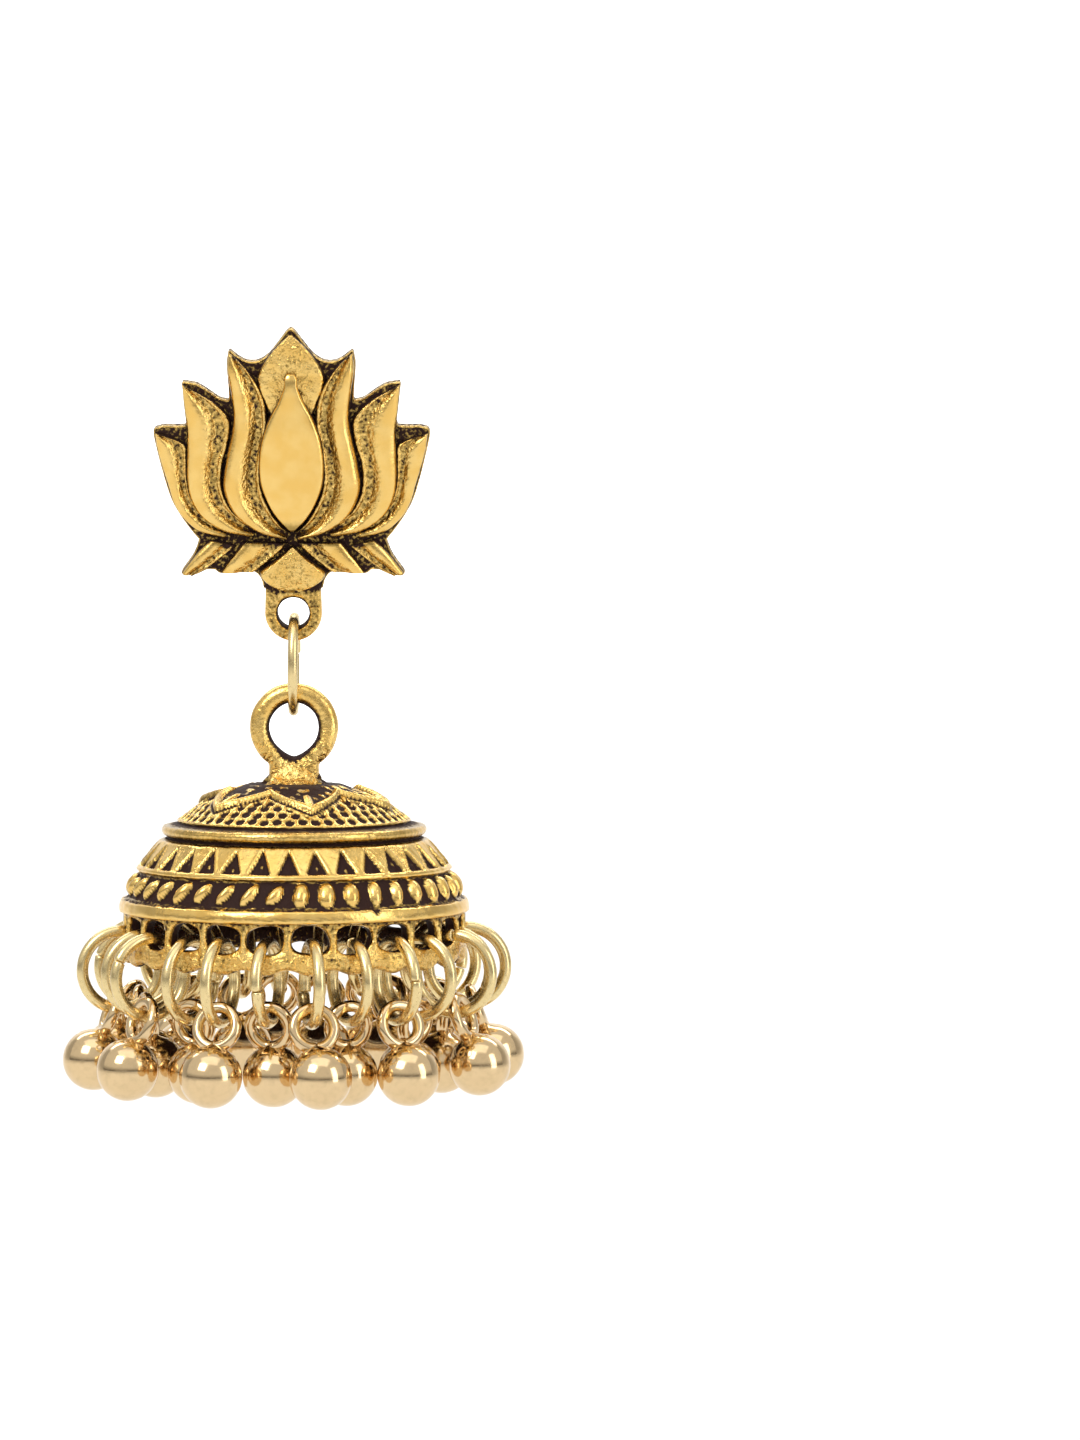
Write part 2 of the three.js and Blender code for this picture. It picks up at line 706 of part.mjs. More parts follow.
// The dome hangs from the link by its loop's top bar.
const linkLow = linkTop - (LINK_LENGTH - LINK_WIRE);
const jhumka = new THREE.Group();
jhumka.position.set(0, eyeMiddle.y, linkLow + LINK_WIRE / 2 + HANG_GAP + LOOP_BAR / 2);
jhumka.add(mesh('jhumka_dome', domeGeometry(), FINISHES.gold));
earring.add(jhumka);

// Each hole's ring sits on the metal under the hole, and its drop hooks over the ring.
const ringGeometry = wireRing(2 * RING_RADIUS, 2 * RING_RADIUS, RING_WIRE, WIRE_SIDES, RING_STEPS);
const dropGeometry = ballDropGeometry();
const seatRadius = (DOME_OUTSIDE.lip[0] * DOME_RADIUS + DOME_RADIUS - DOME_WALL) / 2;
const seatHeight = -LOOP_TO_CROWN - DOME_HEIGHT + LIP_HEIGHT + RING_WIRE / 2 + SEAT_GAP;
HANGING.forEach(([swing, turn, tilt, sway], hole) => {
  const column = new THREE.Group();
  column.rotation.z = radians(holeAngle(hole));
  const seat = new THREE.Group();
  seat.rotation.order = 'ZXY';
  seat.position.set(0, -seatRadius, seatHeight);
  seat.rotation.set(radians(-swing), 0, radians(turn));
  const ring = mesh(`rim_ring_${twoDigits(hole + 1)}`, ringGeometry, FINISHES.brass);
  ring.position.z = -RING_RADIUS;
  // The drop's eye has slid a little way up the ring, toward the side the drop leans to.
  const slide = radians(tilt * DROP_SLIDE - swing);
  const drop = mesh(`ball_drop_${twoDigits(hole + 1)}`, dropGeometry, FINISHES.champagne);
  drop.position.set(0, -RING_RADIUS * Math.sin(slide), -RING_RADIUS * (1 + Math.cos(slide)));
  drop.rotation.set(radians(swing - tilt), radians(-sway), 0);
  seat.add(ring, drop);
  column.add(seat);
  jhumka.add(column);
});

export default earring;
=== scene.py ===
"""The looks of a drop earring of the jhumka kind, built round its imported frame.

Every piece is a surface of two parameters, worked out with numpy in millimetres as it hangs and
stored in metres. The lotus faces -Y, +Z is up and the origin is the root of the ear post.
"""

import math

import bmesh
import bpy
import numpy as np
from bpy.props import FloatProperty, FloatVectorProperty, PointerProperty
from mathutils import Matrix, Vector


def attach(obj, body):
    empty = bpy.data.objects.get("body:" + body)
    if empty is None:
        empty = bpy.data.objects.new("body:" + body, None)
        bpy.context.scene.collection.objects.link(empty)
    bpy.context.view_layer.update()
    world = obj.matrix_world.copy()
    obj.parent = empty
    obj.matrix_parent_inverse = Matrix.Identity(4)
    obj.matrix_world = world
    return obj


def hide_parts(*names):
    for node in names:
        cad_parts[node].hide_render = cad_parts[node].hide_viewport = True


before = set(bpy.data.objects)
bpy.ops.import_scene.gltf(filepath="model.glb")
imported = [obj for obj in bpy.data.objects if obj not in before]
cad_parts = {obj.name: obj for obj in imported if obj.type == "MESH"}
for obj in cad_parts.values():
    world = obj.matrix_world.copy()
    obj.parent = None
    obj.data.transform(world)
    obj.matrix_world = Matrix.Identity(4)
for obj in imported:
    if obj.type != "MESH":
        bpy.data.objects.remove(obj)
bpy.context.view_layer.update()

bl_info = {
    "name": "Jhumka Earring",
    "version": (1, 0, 0),
    "blender": (4, 5, 0),
    "location": "View3D > Sidebar > Earring",
    "description": "Builds the finished pieces of a drop earring round its packed frame",
    "category": "Object",
}

MM = 0.001
WELD_REACH = 2e-7  # metres
DROPS = 24

# The photograph's frame at the earring, in its pixels, and how deep its middle lies in millimetres
FRAME_PIXELS = (1080, 1440)
POST_PIXEL = (294, 445)
PIXELS_PER_MM = 14.0
FRAME_DEPTH = 1.9

# Sizes that the frame fixes, in millimetres
LOTUS_HALF_WIDTH = 9.8
LOTUS_RISE = 8.65
LOTUS_LEAN = 12.0
PLATE_SINK = 0.45
EYE_RADIUS = 2.05
EYE_HOLE_RADIUS = 1.12
EYE_DROP = 12.0
EYE_THICKNESS = 1.6
EYE_REACH = 2.8  # from the eye's centre up under the leaves
POST_RADIUS = 0.36
POST_LENGTH = 11.2
POST_PAD_RADIUS = 1.15
CLUTCH_RADIUS = 2.9
CLUTCH_LENGTH = 2.6
CLUTCH_PLACE = 5.4
CLUTCH_BORE = 0.66
LINK_LENGTH = 7.4
LINK_WIDTH = 5.6
LINK_WIRE = 0.72
LINK_CENTRE = (0.0, 1.9453, -15.6557)
LOOP_CENTRE = (0.0, 1.9453, -17.7007)
LOOP_RADIUS = 3.175
LOOP_BAR = 1.43
LOOP_THICKNESS = 1.5
LOOP_HOLE_FOOT = 4.5
LOOP_NECK_HALF = 1.8
LOOP_NECK_REACH = 4.0  # from the loop's centre down to its shoulders
LOOP_TO_CROWN = 6.35
DOME_RADIUS = 12.5
DOME_HEIGHT = 12.9
DOME_WALL = 1.2
SCALLOP_DEPTH = 0.4
TRIANGLE_COUNT = 33
GRAIN_COUNT = 40
CHEVRON_COUNT = 6
CHEVRON_PHASE = -18.0
LIP_HEIGHT = 1.45
HOLE_HALF_WIDTH = 1.36
HOLE_HALF_HEIGHT = 0.98
HOLE_DROP = 10.36
CELL_TOP = 0.717 * DOME_HEIGHT
CELL_FOOT = 11.65
RING_RADIUS = 2.775
RING_WIRE = 0.85
SEAT_GAP = 0.38
HANG_GAP = 0.22
BALL_RADIUS = 2.2
BALL_EYE_RADIUS = 1.425
BALL_EYE_WIRE = 0.84
BALL_NECK = 3.55

# Right half of the plate's outline, in millimetres, from the top tip down: one curve for each edge
PLATE_CURVES = [
    [(0.0, 8.62), (0.3, 8.4), (0.9, 7.6), (1.6, 6.75), (2.3, 6.3), (3.0, 6.25), (3.6, 6.5), (4.3, 7.05)],
    [(4.42, 6.95), (4.55, 6.0), (4.45, 4.6), (4.4, 3.6)],
    [(4.5, 3.45), (5.1, 3.6), (5.9, 4.15), (6.7, 4.62), (7.65, 4.78)],
    [(7.74, 4.6), (7.62, 3.6), (7.42, 1.9)],
    [(7.55, 1.62), (8.3, 1.58), (9.0, 1.6), (9.65, 1.45)],
    [(9.78, 1.25), (9.72, 0.6), (9.25, -1.45), (8.65, -3.55), (8.05, -4.75), (7.3, -5.85), (6.7, -6.6)],
    [(6.68, -6.72), (7.05, -7.7), (7.9, -8.95)],
    [(7.95, -9.1), (7.7, -9.3), (6.9, -9.2), (6.1, -8.85), (5.55, -8.85)],
    [(5.4, -9.0), (5.05, -9.12), (3.9, -9.0), (2.8, -9.0), (2.3, -9.5), (2.1, -10.2)],
]
# outer edge across and up, inner edge across and up, crest
SIDE_PETALS = {
    "outer": [
        (0.985, 0.13, 0.95, 0.12, 0.42), (0.97, 0.0, 0.775, 0.045, 0.5),
        (0.935, -0.15, 0.757, -0.07, 0.5), (0.895, -0.3, 0.758, -0.21, 0.5),
        (0.855, -0.45, 0.735, -0.38, 0.5), (0.785, -0.58, 0.66, -0.52, 0.5),
        (0.67, -0.69, 0.55, -0.62, 0.46), (0.5, -0.745, 0.42, -0.68, 0.4),
    ],
    "middle": [
        (0.785, 0.535, 0.75, 0.515, 0.46), (0.774, 0.375, 0.56, 0.395, 0.6),
        (0.756, 0.17, 0.442, 0.25, 0.66), (0.757, -0.04, 0.452, 0.06, 0.68),
        (0.76, -0.235, 0.497, -0.125, 0.68), (0.735, -0.41, 0.5, -0.32, 0.68),
        (0.66, -0.56, 0.44, -0.49, 0.66), (0.5, -0.685, 0.33, -0.61, 0.6), (0.3, -0.735, 0.24, -0.67, 0.5),
    ],
    "inner": [
        (0.447, 0.8, 0.41, 0.775, 0.5), (0.457, 0.66, 0.285, 0.62, 0.72),
        (0.43, 0.44, 0.195, 0.42, 0.8), (0.422, 0.21, 0.172, 0.19, 0.85),
        (0.477, -0.1, 0.218, -0.13, 0.88), (0.495, -0.33, 0.205, -0.355, 0.9),
        (0.415, -0.54, 0.14, -0.525, 0.9), (0.25, -0.685, 0.075, -0.635, 0.86),
        (0.05, -0.75, 0.02, -0.69, 0.8),
    ],
    "lower_outer": [
        (0.805, -1.04, 0.73, -1.07, 0.4), (0.745, -0.945, 0.625, -1.0, 0.5),
        (0.685, -0.86, 0.51, -0.905, 0.5), (0.6, -0.765, 0.415, -0.815, 0.45),
    ],
    "lower_inner": [
        (0.525, -1.04, 0.285, -1.035, 0.38), (0.475, -0.955, 0.215, -0.98, 0.5),
        (0.42, -0.875, 0.115, -0.885, 0.52), (0.36, -0.785, 0.035, -0.79, 0.5),
    ],
}
# half width, up, crest
MIDDLE_PETALS = {
    "back": [
        (0.015, 0.945, 0.3), (0.075, 0.885, 0.38), (0.14, 0.81, 0.42), (0.2, 0.715, 0.45),
        (0.245, 0.61, 0.47), (0.235, 0.5, 0.48), (0.19, 0.38, 0.48), (0.16, 0.3, 0.48),
    ],
    "front": [
        (0.032, 0.635, 0.72), (0.046, 0.595, 0.82), (0.05, 0.53, 0.9), (0.092, 0.41, 0.94),
        (0.148, 0.296, 0.96), (0.2, 0.155, 1.0), (0.229, 0.014, 1.0), (0.239, -0.126, 1.0),
        (0.229, -0.267, 1.0), (0.198, -0.379, 0.99), (0.15, -0.492, 0.96), (0.09, -0.585, 0.92),
        (0.02, -0.665, 0.85),
    ],
    "lower": [
        (0.01, -0.82, 0.55), (0.097, -0.905, 0.65), (0.189, -0.98, 0.7), (0.24, -1.03, 0.7),
        (0.222, -1.09, 0.68), (0.15, -1.15, 0.62), (0.03, -1.2, 0.5),
    ],
}
# across a petal from its outer edge to its inner one: place, height, darkness, pitting
RIDGED = [
    (0.0, 0.42, 0.9, 0.3), (0.03, 0.66, 0.25, 0.3), (0.08, 0.82, 0.0, 0.12), (0.2, 0.96, 0.0, 0.1),
    (0.33, 1.0, 0.0, 0.15), (0.45, 0.9, 0.05, 0.5), (0.57, 0.66, 0.26, 1.0), (0.7, 0.46, 0.46, 1.0),
    (0.82, 0.46, 0.42, 1.0), (0.91, 0.6, 0.1, 0.8), (0.95, 0.58, 0.15, 0.6), (0.98, 0.45, 0.8, 0.6),
    (1.0, 0.3, 1.0, 0.6),
]
CROWNED = [
    (0.0, 0.5, 1.0, 0.3), (0.012, 0.76, 0.5, 0.3), (0.035, 0.88, 0.0, 0.1), (0.12, 0.95, 0.0, 0.0),
    (0.5, 1.0, 0.0, 0.02), (0.88, 0.95, 0.0, 0.0), (0.965, 0.88, 0.0, 0.1), (0.988, 0.76, 0.5, 0.3),
    (1.0, 0.5, 1.0, 0.3),
]
PITTED = [
    (0.0, 0.35, 1.0, 0.4), (0.03, 0.82, 0.2, 0.6), (0.09, 0.97, 0.0, 0.6), (0.25, 0.93, 0.12, 1.0),
    (0.75, 0.93, 0.12, 1.0), (0.91, 0.97, 0.0, 0.6), (0.97, 0.82, 0.2, 0.6), (1.0, 0.35, 1.0, 0.4),
]

# through the plate's edge from its front to its back: drawn in, depth, darkness, pitting
PLATE_SECTION = [
    (0.13, -1.06, 0.72, 0.9), (0.07, -1.1, 0.25, 0.6), (0.0, -1.0, 0.3, 0.6), (-0.02, -0.7, 0.6, 0.7),
    (-0.02, -0.35, 0.55, 0.6), (0.0, -0.15, 0.3, 0.4), (0.04, -0.05, 0.0, 0.25), (0.1, -0.01, 0.1, 0.22),
    (0.2, 0.0, 0.12, 0.22),
]

# Dome from the crown down: radius and drop as shares, rows to the next place, darkness
DOME_OUTSIDE = {
    "crown": (0.0, 0.0, 6, 0.9),
    "shoulder": (0.28, 0.015, 16, 0.9),
    "slope": (0.53, 0.11, 14, 0.05),
    "crown_edge": (0.67, 0.21, 2, 0.15),
    "crown_cut": (0.655, 0.225, 6, 1.0),
    "ridge_high": (0.744, 0.24, 6, 0.35),
    "ridge_low": (0.744, 0.288, 2, 0.55),
    "ridge_cut": (0.716, 0.305, 4, 1.0),
    "band_top": (0.77, 0.32, 16, 0.2),
    "band_low": (0.9, 0.476, 3, 0.0),
    "floor_top": (0.882, 0.5, 12, 1.0),
    "floor_low": (0.952, 0.632, 3, 1.0),
    "girdle_top": (0.988, 0.646, 6, 0.0),
    "girdle_low": (1.0, 0.71, 2, 0.1),
    "rim_top": (0.98, 0.717, 0, 0.25),
}
ROUNDED_BANDS = [("ridge_high", "ridge_low", 0.16), ("girdle_top", "girdle_low", 0.07)]
DOME_INSIDE = [(0.0, 0.0), (0.3, 0.03), (0.67, 0.22), (0.87, 0.44), (0.99, 0.68), (1.0, 1.0)]
COLUMNS = 600
# from the edge of a hole's cell through the wall: share of the way to the hole, share of the wall,
# darkness, which through the hole and on the inner face is painted shade
HOLE_SECTION = [
    (0.0, 0.02, 0.15), (0.25, 0.05, 0.0), (0.5, 0.08, 0.0), (0.72, 0.13, 0.0), (0.87, 0.22, 0.15),
    (0.96, 0.36, 0.7), (1.0, 0.5, 1.0), (1.0, 0.7, 1.0), (0.95, 0.84, 1.0), (0.7, 0.94, 1.0),
    (0.0, 1.0, 1.0),
]
# round the lip: share of the wall, share of the way down from the holes' cells, darkness, which round the
# underside and on the inner face is painted shade
LIP_SECTION = [
    (0.0, 0.0, 0.15), (-0.04, 0.3, 0.0), (-0.02, 0.6, 0.0), (0.1, 0.85, 0.1), (0.35, 0.98, 0.3),
    (0.65, 0.98, 0.5), (0.9, 0.85, 0.7), (1.0, 0.5, 0.8), (1.0, 0.0, 0.8),
]
# the crown's chevrons: how far down the crown their ribs lie, and their relief, in millimetres
CHEVRON_HIGH = 4.7
CHEVRON_LOW = 7.3
CHEVRON_LEAN = 0.78  # across a slanting rib for each millimetre down
RIB_HALF_WIDTH = 0.27
RIB_HEIGHT = 0.4
CUT_PLACE = 0.38
CUT_WIDTH = 0.12
FIELD_SINK = 0.14
FLECK_HEIGHT = 0.18
STEM_HALF_WIDTH = 0.3
STEM_HEIGHT = 0.26
PIT_EDGE = 0.42
PIT_FLOOR = 0.25
PIT_DEPTH = 0.18
# sunk triangles, their raised edges and the edge under them, in millimetres
TRIANGLE_HALF_WIDTH = 0.76
TRIANGLE_FOOT = 0.82  # as a share of the band
TRIANGLE_SINK = 0.3
TRIANGLE_EDGE = 0.07
BASE_EDGE = 0.06
# grains on the dark band, in millimetres and degrees: those on the right are wider and more upright
GRAIN_HALF_WIDTH = 0.44
GRAIN_EXTRA_WIDTH = 0.14
GRAIN_HALF_LENGTH = 0.94
GRAIN_HEIGHT = 0.52
GRAIN_SLANT = 6.0
GRAIN_LEFT_SLANT = 30.0

# pits under the chevrons: place down the crown in millimetres, count, turn
PIT_ROWS = [(8.45, 54, 0.0), (7.7, 50, 3.0), (6.95, 45, 0.0), (6.2, 40, 4.0)]

# at a wire's cut end: radians past the cut, share of the wire's radius
WIRE_END = [(0.0, 0.0), (0.0, 0.78), (0.01, 0.95)]
WIRE_END_REACH = 0.04  # radians from the cut to the whole wire
# where the cuts of the jump rings lie, in degrees
SEAM_START = -50
SEAM_STEP = 97
SEAM_RANGE = 280
# the loop's foot: drop below the loop's top, half width, half depth in millimetres
LOOP_FOOT = [
    (4.55, 0.0, 0.0), (4.75, 0.9, 0.4), (5.1, 1.45, 0.75), (5.5, 1.7, 0.95), (5.9, 1.85, 1.2),
    (6.2, 2.05, 1.5), (6.45, 2.35, 1.9), (6.7, 2.7, 2.4), (6.9, 2.9, 2.6),
]
NICK_ANGLE = 30.0
NICK_HALF_ANGLE = 1.8
NICK_DEPTH = 0.12

# how each ring and its drop hang, as in the frame: swing, turn, tilt, sway in degrees
HANGING = [
    (13, 4, 20, 0), (-10, -5, -8, 1), (12, 6, 20, -1), (-10, 3, -9, 0), (13, -4, 19, 1), (-9, 5, -8, -1),
    (13, 6, 21, 1), (-10, -6, -8, 0), (12, -5, 19, -1), (-10, 4, -9, 0), (13, 3, 19, 0), (-10, -7, -9, 2),
    (12, 6, 18, 4), (-10, 5, -9, 2), (12, -6, 17, 1), (-9, 4, -8, 0), (12, 5, 20, 0), (-9, -5, -8, 1),
    (13, -4, 20, 0), (-10, 6, -8, -1), (12, 5, 19, 0), (-10, -4, -9, 0), (13, 3, 20, 1), (-9, 5, -8, 0),
]

# The stage, in metres
FLOOR_REACH = 7.0
FLOOR_WHITE = (0.76, 0.76, 0.76)
WALL_DEPTH = 1.1
WALL_BEND = 0.35
WALL_HEIGHT = 2.2
SURROUND_RADIUS = 0.9
SURROUND_HEIGHT = 1.4
SURROUND_SIDES = 96
SENSOR_HEIGHT = 36.0  # millimetres
EARRING_MIDDLE = (0.0, 0.0, -0.02)
# place, the point that it looks at, sides, watts
LIGHTS = {
    "key": ((-0.3, -0.42, 0.4), EARRING_MIDDLE, (0.3, 0.3), 1.6),
    "side": ((0.46, -0.3, 0.1), EARRING_MIDDLE, (0.2, 0.5), 0.7),
    "top": ((0.0, -0.35, 0.8), (0.0, -0.3, -0.1), (0.9, 0.6), 1.2),
    "backdrop": ((0.0, 0.62, 0.85), (0.0, 0.95, 0.0), (1.6, 0.3), 9.0),
}
SKY_COLOUR = (1.0, 0.99, 0.97)
SKY_CLIMB = {"From Min": -0.02, "From Max": 0.22, "To Min": 0.03, "To Max": 0.75}


def linked(name, data):
    """A new object of a mesh, lamp or camera, put in the scene."""
    made = bpy.data.objects.new(name, data)
    bpy.context.scene.collection.objects.link(made)
    return made


def rotation(axis, degrees):
    """Matrix of a right-hand turn about X, Y or Z."""
    c, s = math.cos(math.radians(degrees)), math.sin(math.radians(degrees))
    return np.array({
        "X": [[1, 0, 0], [0, c, -s], [0, s, c]],
        "Y": [[c, 0, s], [0, 1, 0], [-s, 0, c]],
        "Z": [[c, -s, 0], [s, c, 0], [0, 0, 1]],
    }[axis])


def between(at, stops):
    """Values of a table at places along its first column: cubic pieces, whose slope at a stop is the
    harmonic mean of the slopes beside it, and level where those differ in sign."""
    x, y = np.asarray(stops, float).T
    slope = np.diff(y) / np.diff(x)
    same = slope[:-1] * slope[1:] > 0
    whole = np.where(same, slope[:-1] + slope[1:], 1)
    middle = np.where(same, 2 * slope[:-1] * slope[1:] / whole, 0)
    lean = np.concatenate([slope[:1], middle, slope[-1:]])
    i = np.clip(np.searchsorted(x, at, side="right") - 1, 0, len(x) - 2)
    h = x[i + 1] - x[i]
    t = np.clip((at - x[i]) / h, 0, 1)
    start = y[i] * (1 + 2 * t) * (1 - t) ** 2 + lean[i] * h * t * (1 - t) ** 2
    return start + y[i + 1] * t * t * (3 - 2 * t) + lean[i + 1] * h * t * t * (t - 1)


def smooth_rows(table, places):
    """A table at fractional rows: a Catmull-Rom curve through its rows, each column apart."""
    rows = np.asarray(table, float)
    rows = np.vstack([2 * rows[0] - rows[1], rows, 2 * rows[-1] - rows[-2]])
    whole = np.clip(np.floor(places).astype(int), 0, len(table) - 2)
    t = (places - whole)[..., None]
    a, b, c, d = (rows[whole + step] for step in range(4))
    return 0.5 * (2 * b + (c - a) * t + (2 * a - 5 * b + 4 * c - d) * t**2 + (3 * b - a - 3 * c + d) * t**3)


def step(low, high, value):
    """0 below low, 1 above high, and a smooth S between."""
    t = np.clip((value - low) / (high - low), 0, 1)
    return t * t * (3 - 2 * t)


def uneven(points, size, seed):
    """Soft bumps between about -1 and 1: a sum of sine waves in directions drawn once from a seed."""
    draw = np.random.RandomState(seed)
    ways = draw.normal(size=(7, 3)) * (2 * math.pi / size / 1.6)
    starts = draw.uniform(0, 2 * math.pi, 7)
    return np.sin(points @ ways.T + starts).sum(-1) / 4.2


def squared(wave, power):
    """A sine or cosine drawn out towards a square wave, so that an oval gets fuller corners."""
    return np.sign(wave) * np.abs(wave) ** power


def wrapped(angle, count, phase=0.0):
    """Angle from the nearest of count evenly spaced places, in degrees, and that place's number."""
    pitch = 360.0 / count
    near = np.round((angle - phase) / pitch)
    return angle - phase - near * pitch, near.astype(int) % count


def outward(mesh, weld=None):
    """Welds points closer than a given distance, if one is given, and turns the faces outward."""
    work = bmesh.new()
    work.from_mesh(mesh)
    if weld:
        bmesh.ops.remove_doubles(work, verts=work.verts, dist=weld)
    bmesh.ops.recalc_face_normals(work, faces=work.faces)
    work.to_mesh(mesh)
    work.free()


class Skin:
    """Grids of points gathered into one mesh, each point with its darkness and its pitting."""

    def __init__(self):
        self.points, self.faces, self.dark, self.pits, self.total = [], [], [], [], 0

    def grid(self, points, dark=0.0, pits=0.0, ring=False, tube=False):
        """Adds a grid of rows and columns. A ring closes the columns and a tube closes the rows."""
        rows, columns = points.shape[:2]
        r = np.arange(rows if tube else rows - 1)[:, None]
        c = np.arange(columns if ring else columns - 1)[None, :]
        r2, c2 = (r + 1) % rows, (c + 1) % columns
        quads = np.stack([r * columns + c, r * columns + c2, r2 * columns + c2, r2 * columns + c], -1)
        self.faces.append(quads.reshape(-1, 4) + self.total)
        self.points.append(points.reshape(-1, 3))
        for store, value in ((self.dark, dark), (self.pits, pits)):
            store.append(np.broadcast_to(value, (rows, columns)).reshape(-1).astype(np.float32))
        self.total += rows * columns

    def moved(self, turn=np.eye(3), shift=(0, 0, 0)):
        """The same skin turned by a matrix, then shifted."""
        self.points = [points @ turn.T + np.asarray(shift, float) for points in self.points]
        return self

    def piece(self, name, body, slot, finish, *replaced):
        """Makes the mesh, welds its seams and poles, turns its faces outward and hangs it on its body."""
        mesh = bpy.data.meshes.new(name)
        points = np.concatenate(self.points) * MM
        faces = np.concatenate(self.faces)
        mesh.vertices.add(len(points))
        mesh.vertices.foreach_set("co", points.astype(np.float32).ravel())
        mesh.loops.add(faces.size)
        mesh.loops.foreach_set("vertex_index", faces.astype(np.int32).ravel())
        mesh.polygons.add(len(faces))
        mesh.polygons.foreach_set("loop_start", np.arange(0, faces.size, 4, dtype=np.int32))
        for label, store in (("dark", self.dark), ("pits", self.pits)):
            mesh.attributes.new(label, "FLOAT", "POINT").data.foreach_set("value", np.concatenate(store))
        mesh.update(calc_edges=True)
        outward(mesh, WELD_REACH)
        mesh.polygons.foreach_set("use_smooth", np.ones(len(mesh.polygons), bool))
        mesh.materials.append(finish)
        made = linked(name, mesh)
        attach(made, body)
        if replaced:
            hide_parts(*replaced)
        return made


def relief(skin, x, y, z, foot, dark, pits):
    """Adds a raised form on the XZ plane that looks to -Y, closed down to a flat foot inside the plate."""
    top = np.stack([x, y, z], -1)
    edge = top.copy()
    edge[..., 1] = foot
    rows = [edge[:1].mean(1, keepdims=True) + 0 * top[:1], edge[:1], top, edge[-1:]]
    rows.append(edge[-1:].mean(1, keepdims=True) + 0 * top[-1:])
    body = np.concatenate(rows)
    flat = body.copy()
    flat[..., 1] = foot
    body = np.concatenate([flat[:, :1], body, flat[:, -1:]], 1)
    # The side walls down to the foot are painted fully dark: dark finish and painted shade in the gaps
    # between petals
    border = ((2, 2), (1, 1))
    skin.grid(body, np.pad(dark, border, constant_values=1.0), np.pad(pits, border), ring=True)


def petal(skin, rows, across, crest_height, side, seed):
    """A petal between two curved edges: each section runs from the outer edge to the inner one, and its
    height is the section table times the crest there."""
    edges = smooth_rows(rows, np.linspace(0, len(rows) - 1, 72))
    t = np.linspace(0, 1, 45)[None, :]
    place, height, dark, pits = np.asarray(across, float).T
    along = np.linspace(0, 1, 72)[:, None]
    x = side * LOTUS_HALF_WIDTH * (edges[:, 0:1] * (1 - t) + edges[:, 2:3] * t)
    z = LOTUS_RISE * (edges[:, 1:2] * (1 - t) + edges[:, 3:4] * t)
    shape = between(t, np.stack([place, height], 1))
    bumps = uneven(np.stack([x, 0 * x, z], -1), 1.3, seed)
    pitting = between(t, np.stack([place, pits], 1)) + 0 * x
    y = -1.1 - crest_height * edges[:, 4:5] * shape - 0.05 * bumps * pitting
    # Darker at both edges and towards both ends of the petal, where it runs into the gaps: dark finish in
    # the hollows and painted shade
    ends = 0.5 * step(0.85, 1.0, along) + 0.3 * step(0.05, 0.0, along)
    shade = between(t, np.stack([place, dark], 1)) + ends
    relief(skin, x, y, z, PLATE_SINK - 1.1, np.clip(shade + 0 * x, 0, 1), pitting)


def middle_petal(skin, rows, across, crest_height, seed):
    """A petal on the middle line: the same surface between mirrored edges."""
    petal(skin, [(half, up, -half, up, crest) for half, up, crest in rows], across, crest_height, 1, seed)


def plate_outline():
    """The outline of the back plate: each edge a Catmull-Rom curve, mirrored to the left half."""
    curves = [smooth_rows(curve, np.linspace(0, len(curve) - 1, 5 * len(curve))) for curve in PLATE_CURVES]
    right = np.concatenate(curves)
    return np.concatenate([right, right[::-1][:-1] * (-1, 1)])


def back_plate(turn):
    """The back plate: its outline carried from the front to the back over two rounded edges, each row
    drawn in along the outline's own normals, and both faces closed flat."""
    outline = plate_outline()
    count = len(outline)
    run = np.roll(outline, -2, 0) - np.roll(outline, 2, 0)
    inward = np.stack([run[:, 1], -run[:, 0]], -1)
    inward /= np.linalg.norm(inward, axis=1, keepdims=True)
    rows = [np.insert(outline + inset * inward, 1, depth, axis=1) for inset, depth, _, _ in PLATE_SECTION]
    points = np.concatenate(rows)
    r, c = np.mgrid[0:len(rows) - 1, 0:count]
    across = (c + 1) % count
    quads = np.stack([r * count + c, r * count + across, (r + 1) * count + across, (r + 1) * count + c], -1)
    caps = [list(range(count)), list(range(len(points) - count, len(points)))]
    mesh = bpy.data.meshes.new("lotus_back")
    mesh.from_pydata((points @ turn.T * MM).tolist(), [], caps + quads.reshape(-1, 4).tolist())
    outward(mesh)
    for column, label in ((2, "dark"), (3, "pits")):
        values = np.repeat([row[column] for row in PLATE_SECTION], count).astype(np.float32)
        mesh.attributes.new(label, "FLOAT", "POINT").data.foreach_set("value", values)
    made = linked("lotus_back", mesh)
    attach(made, "stud")
    return made


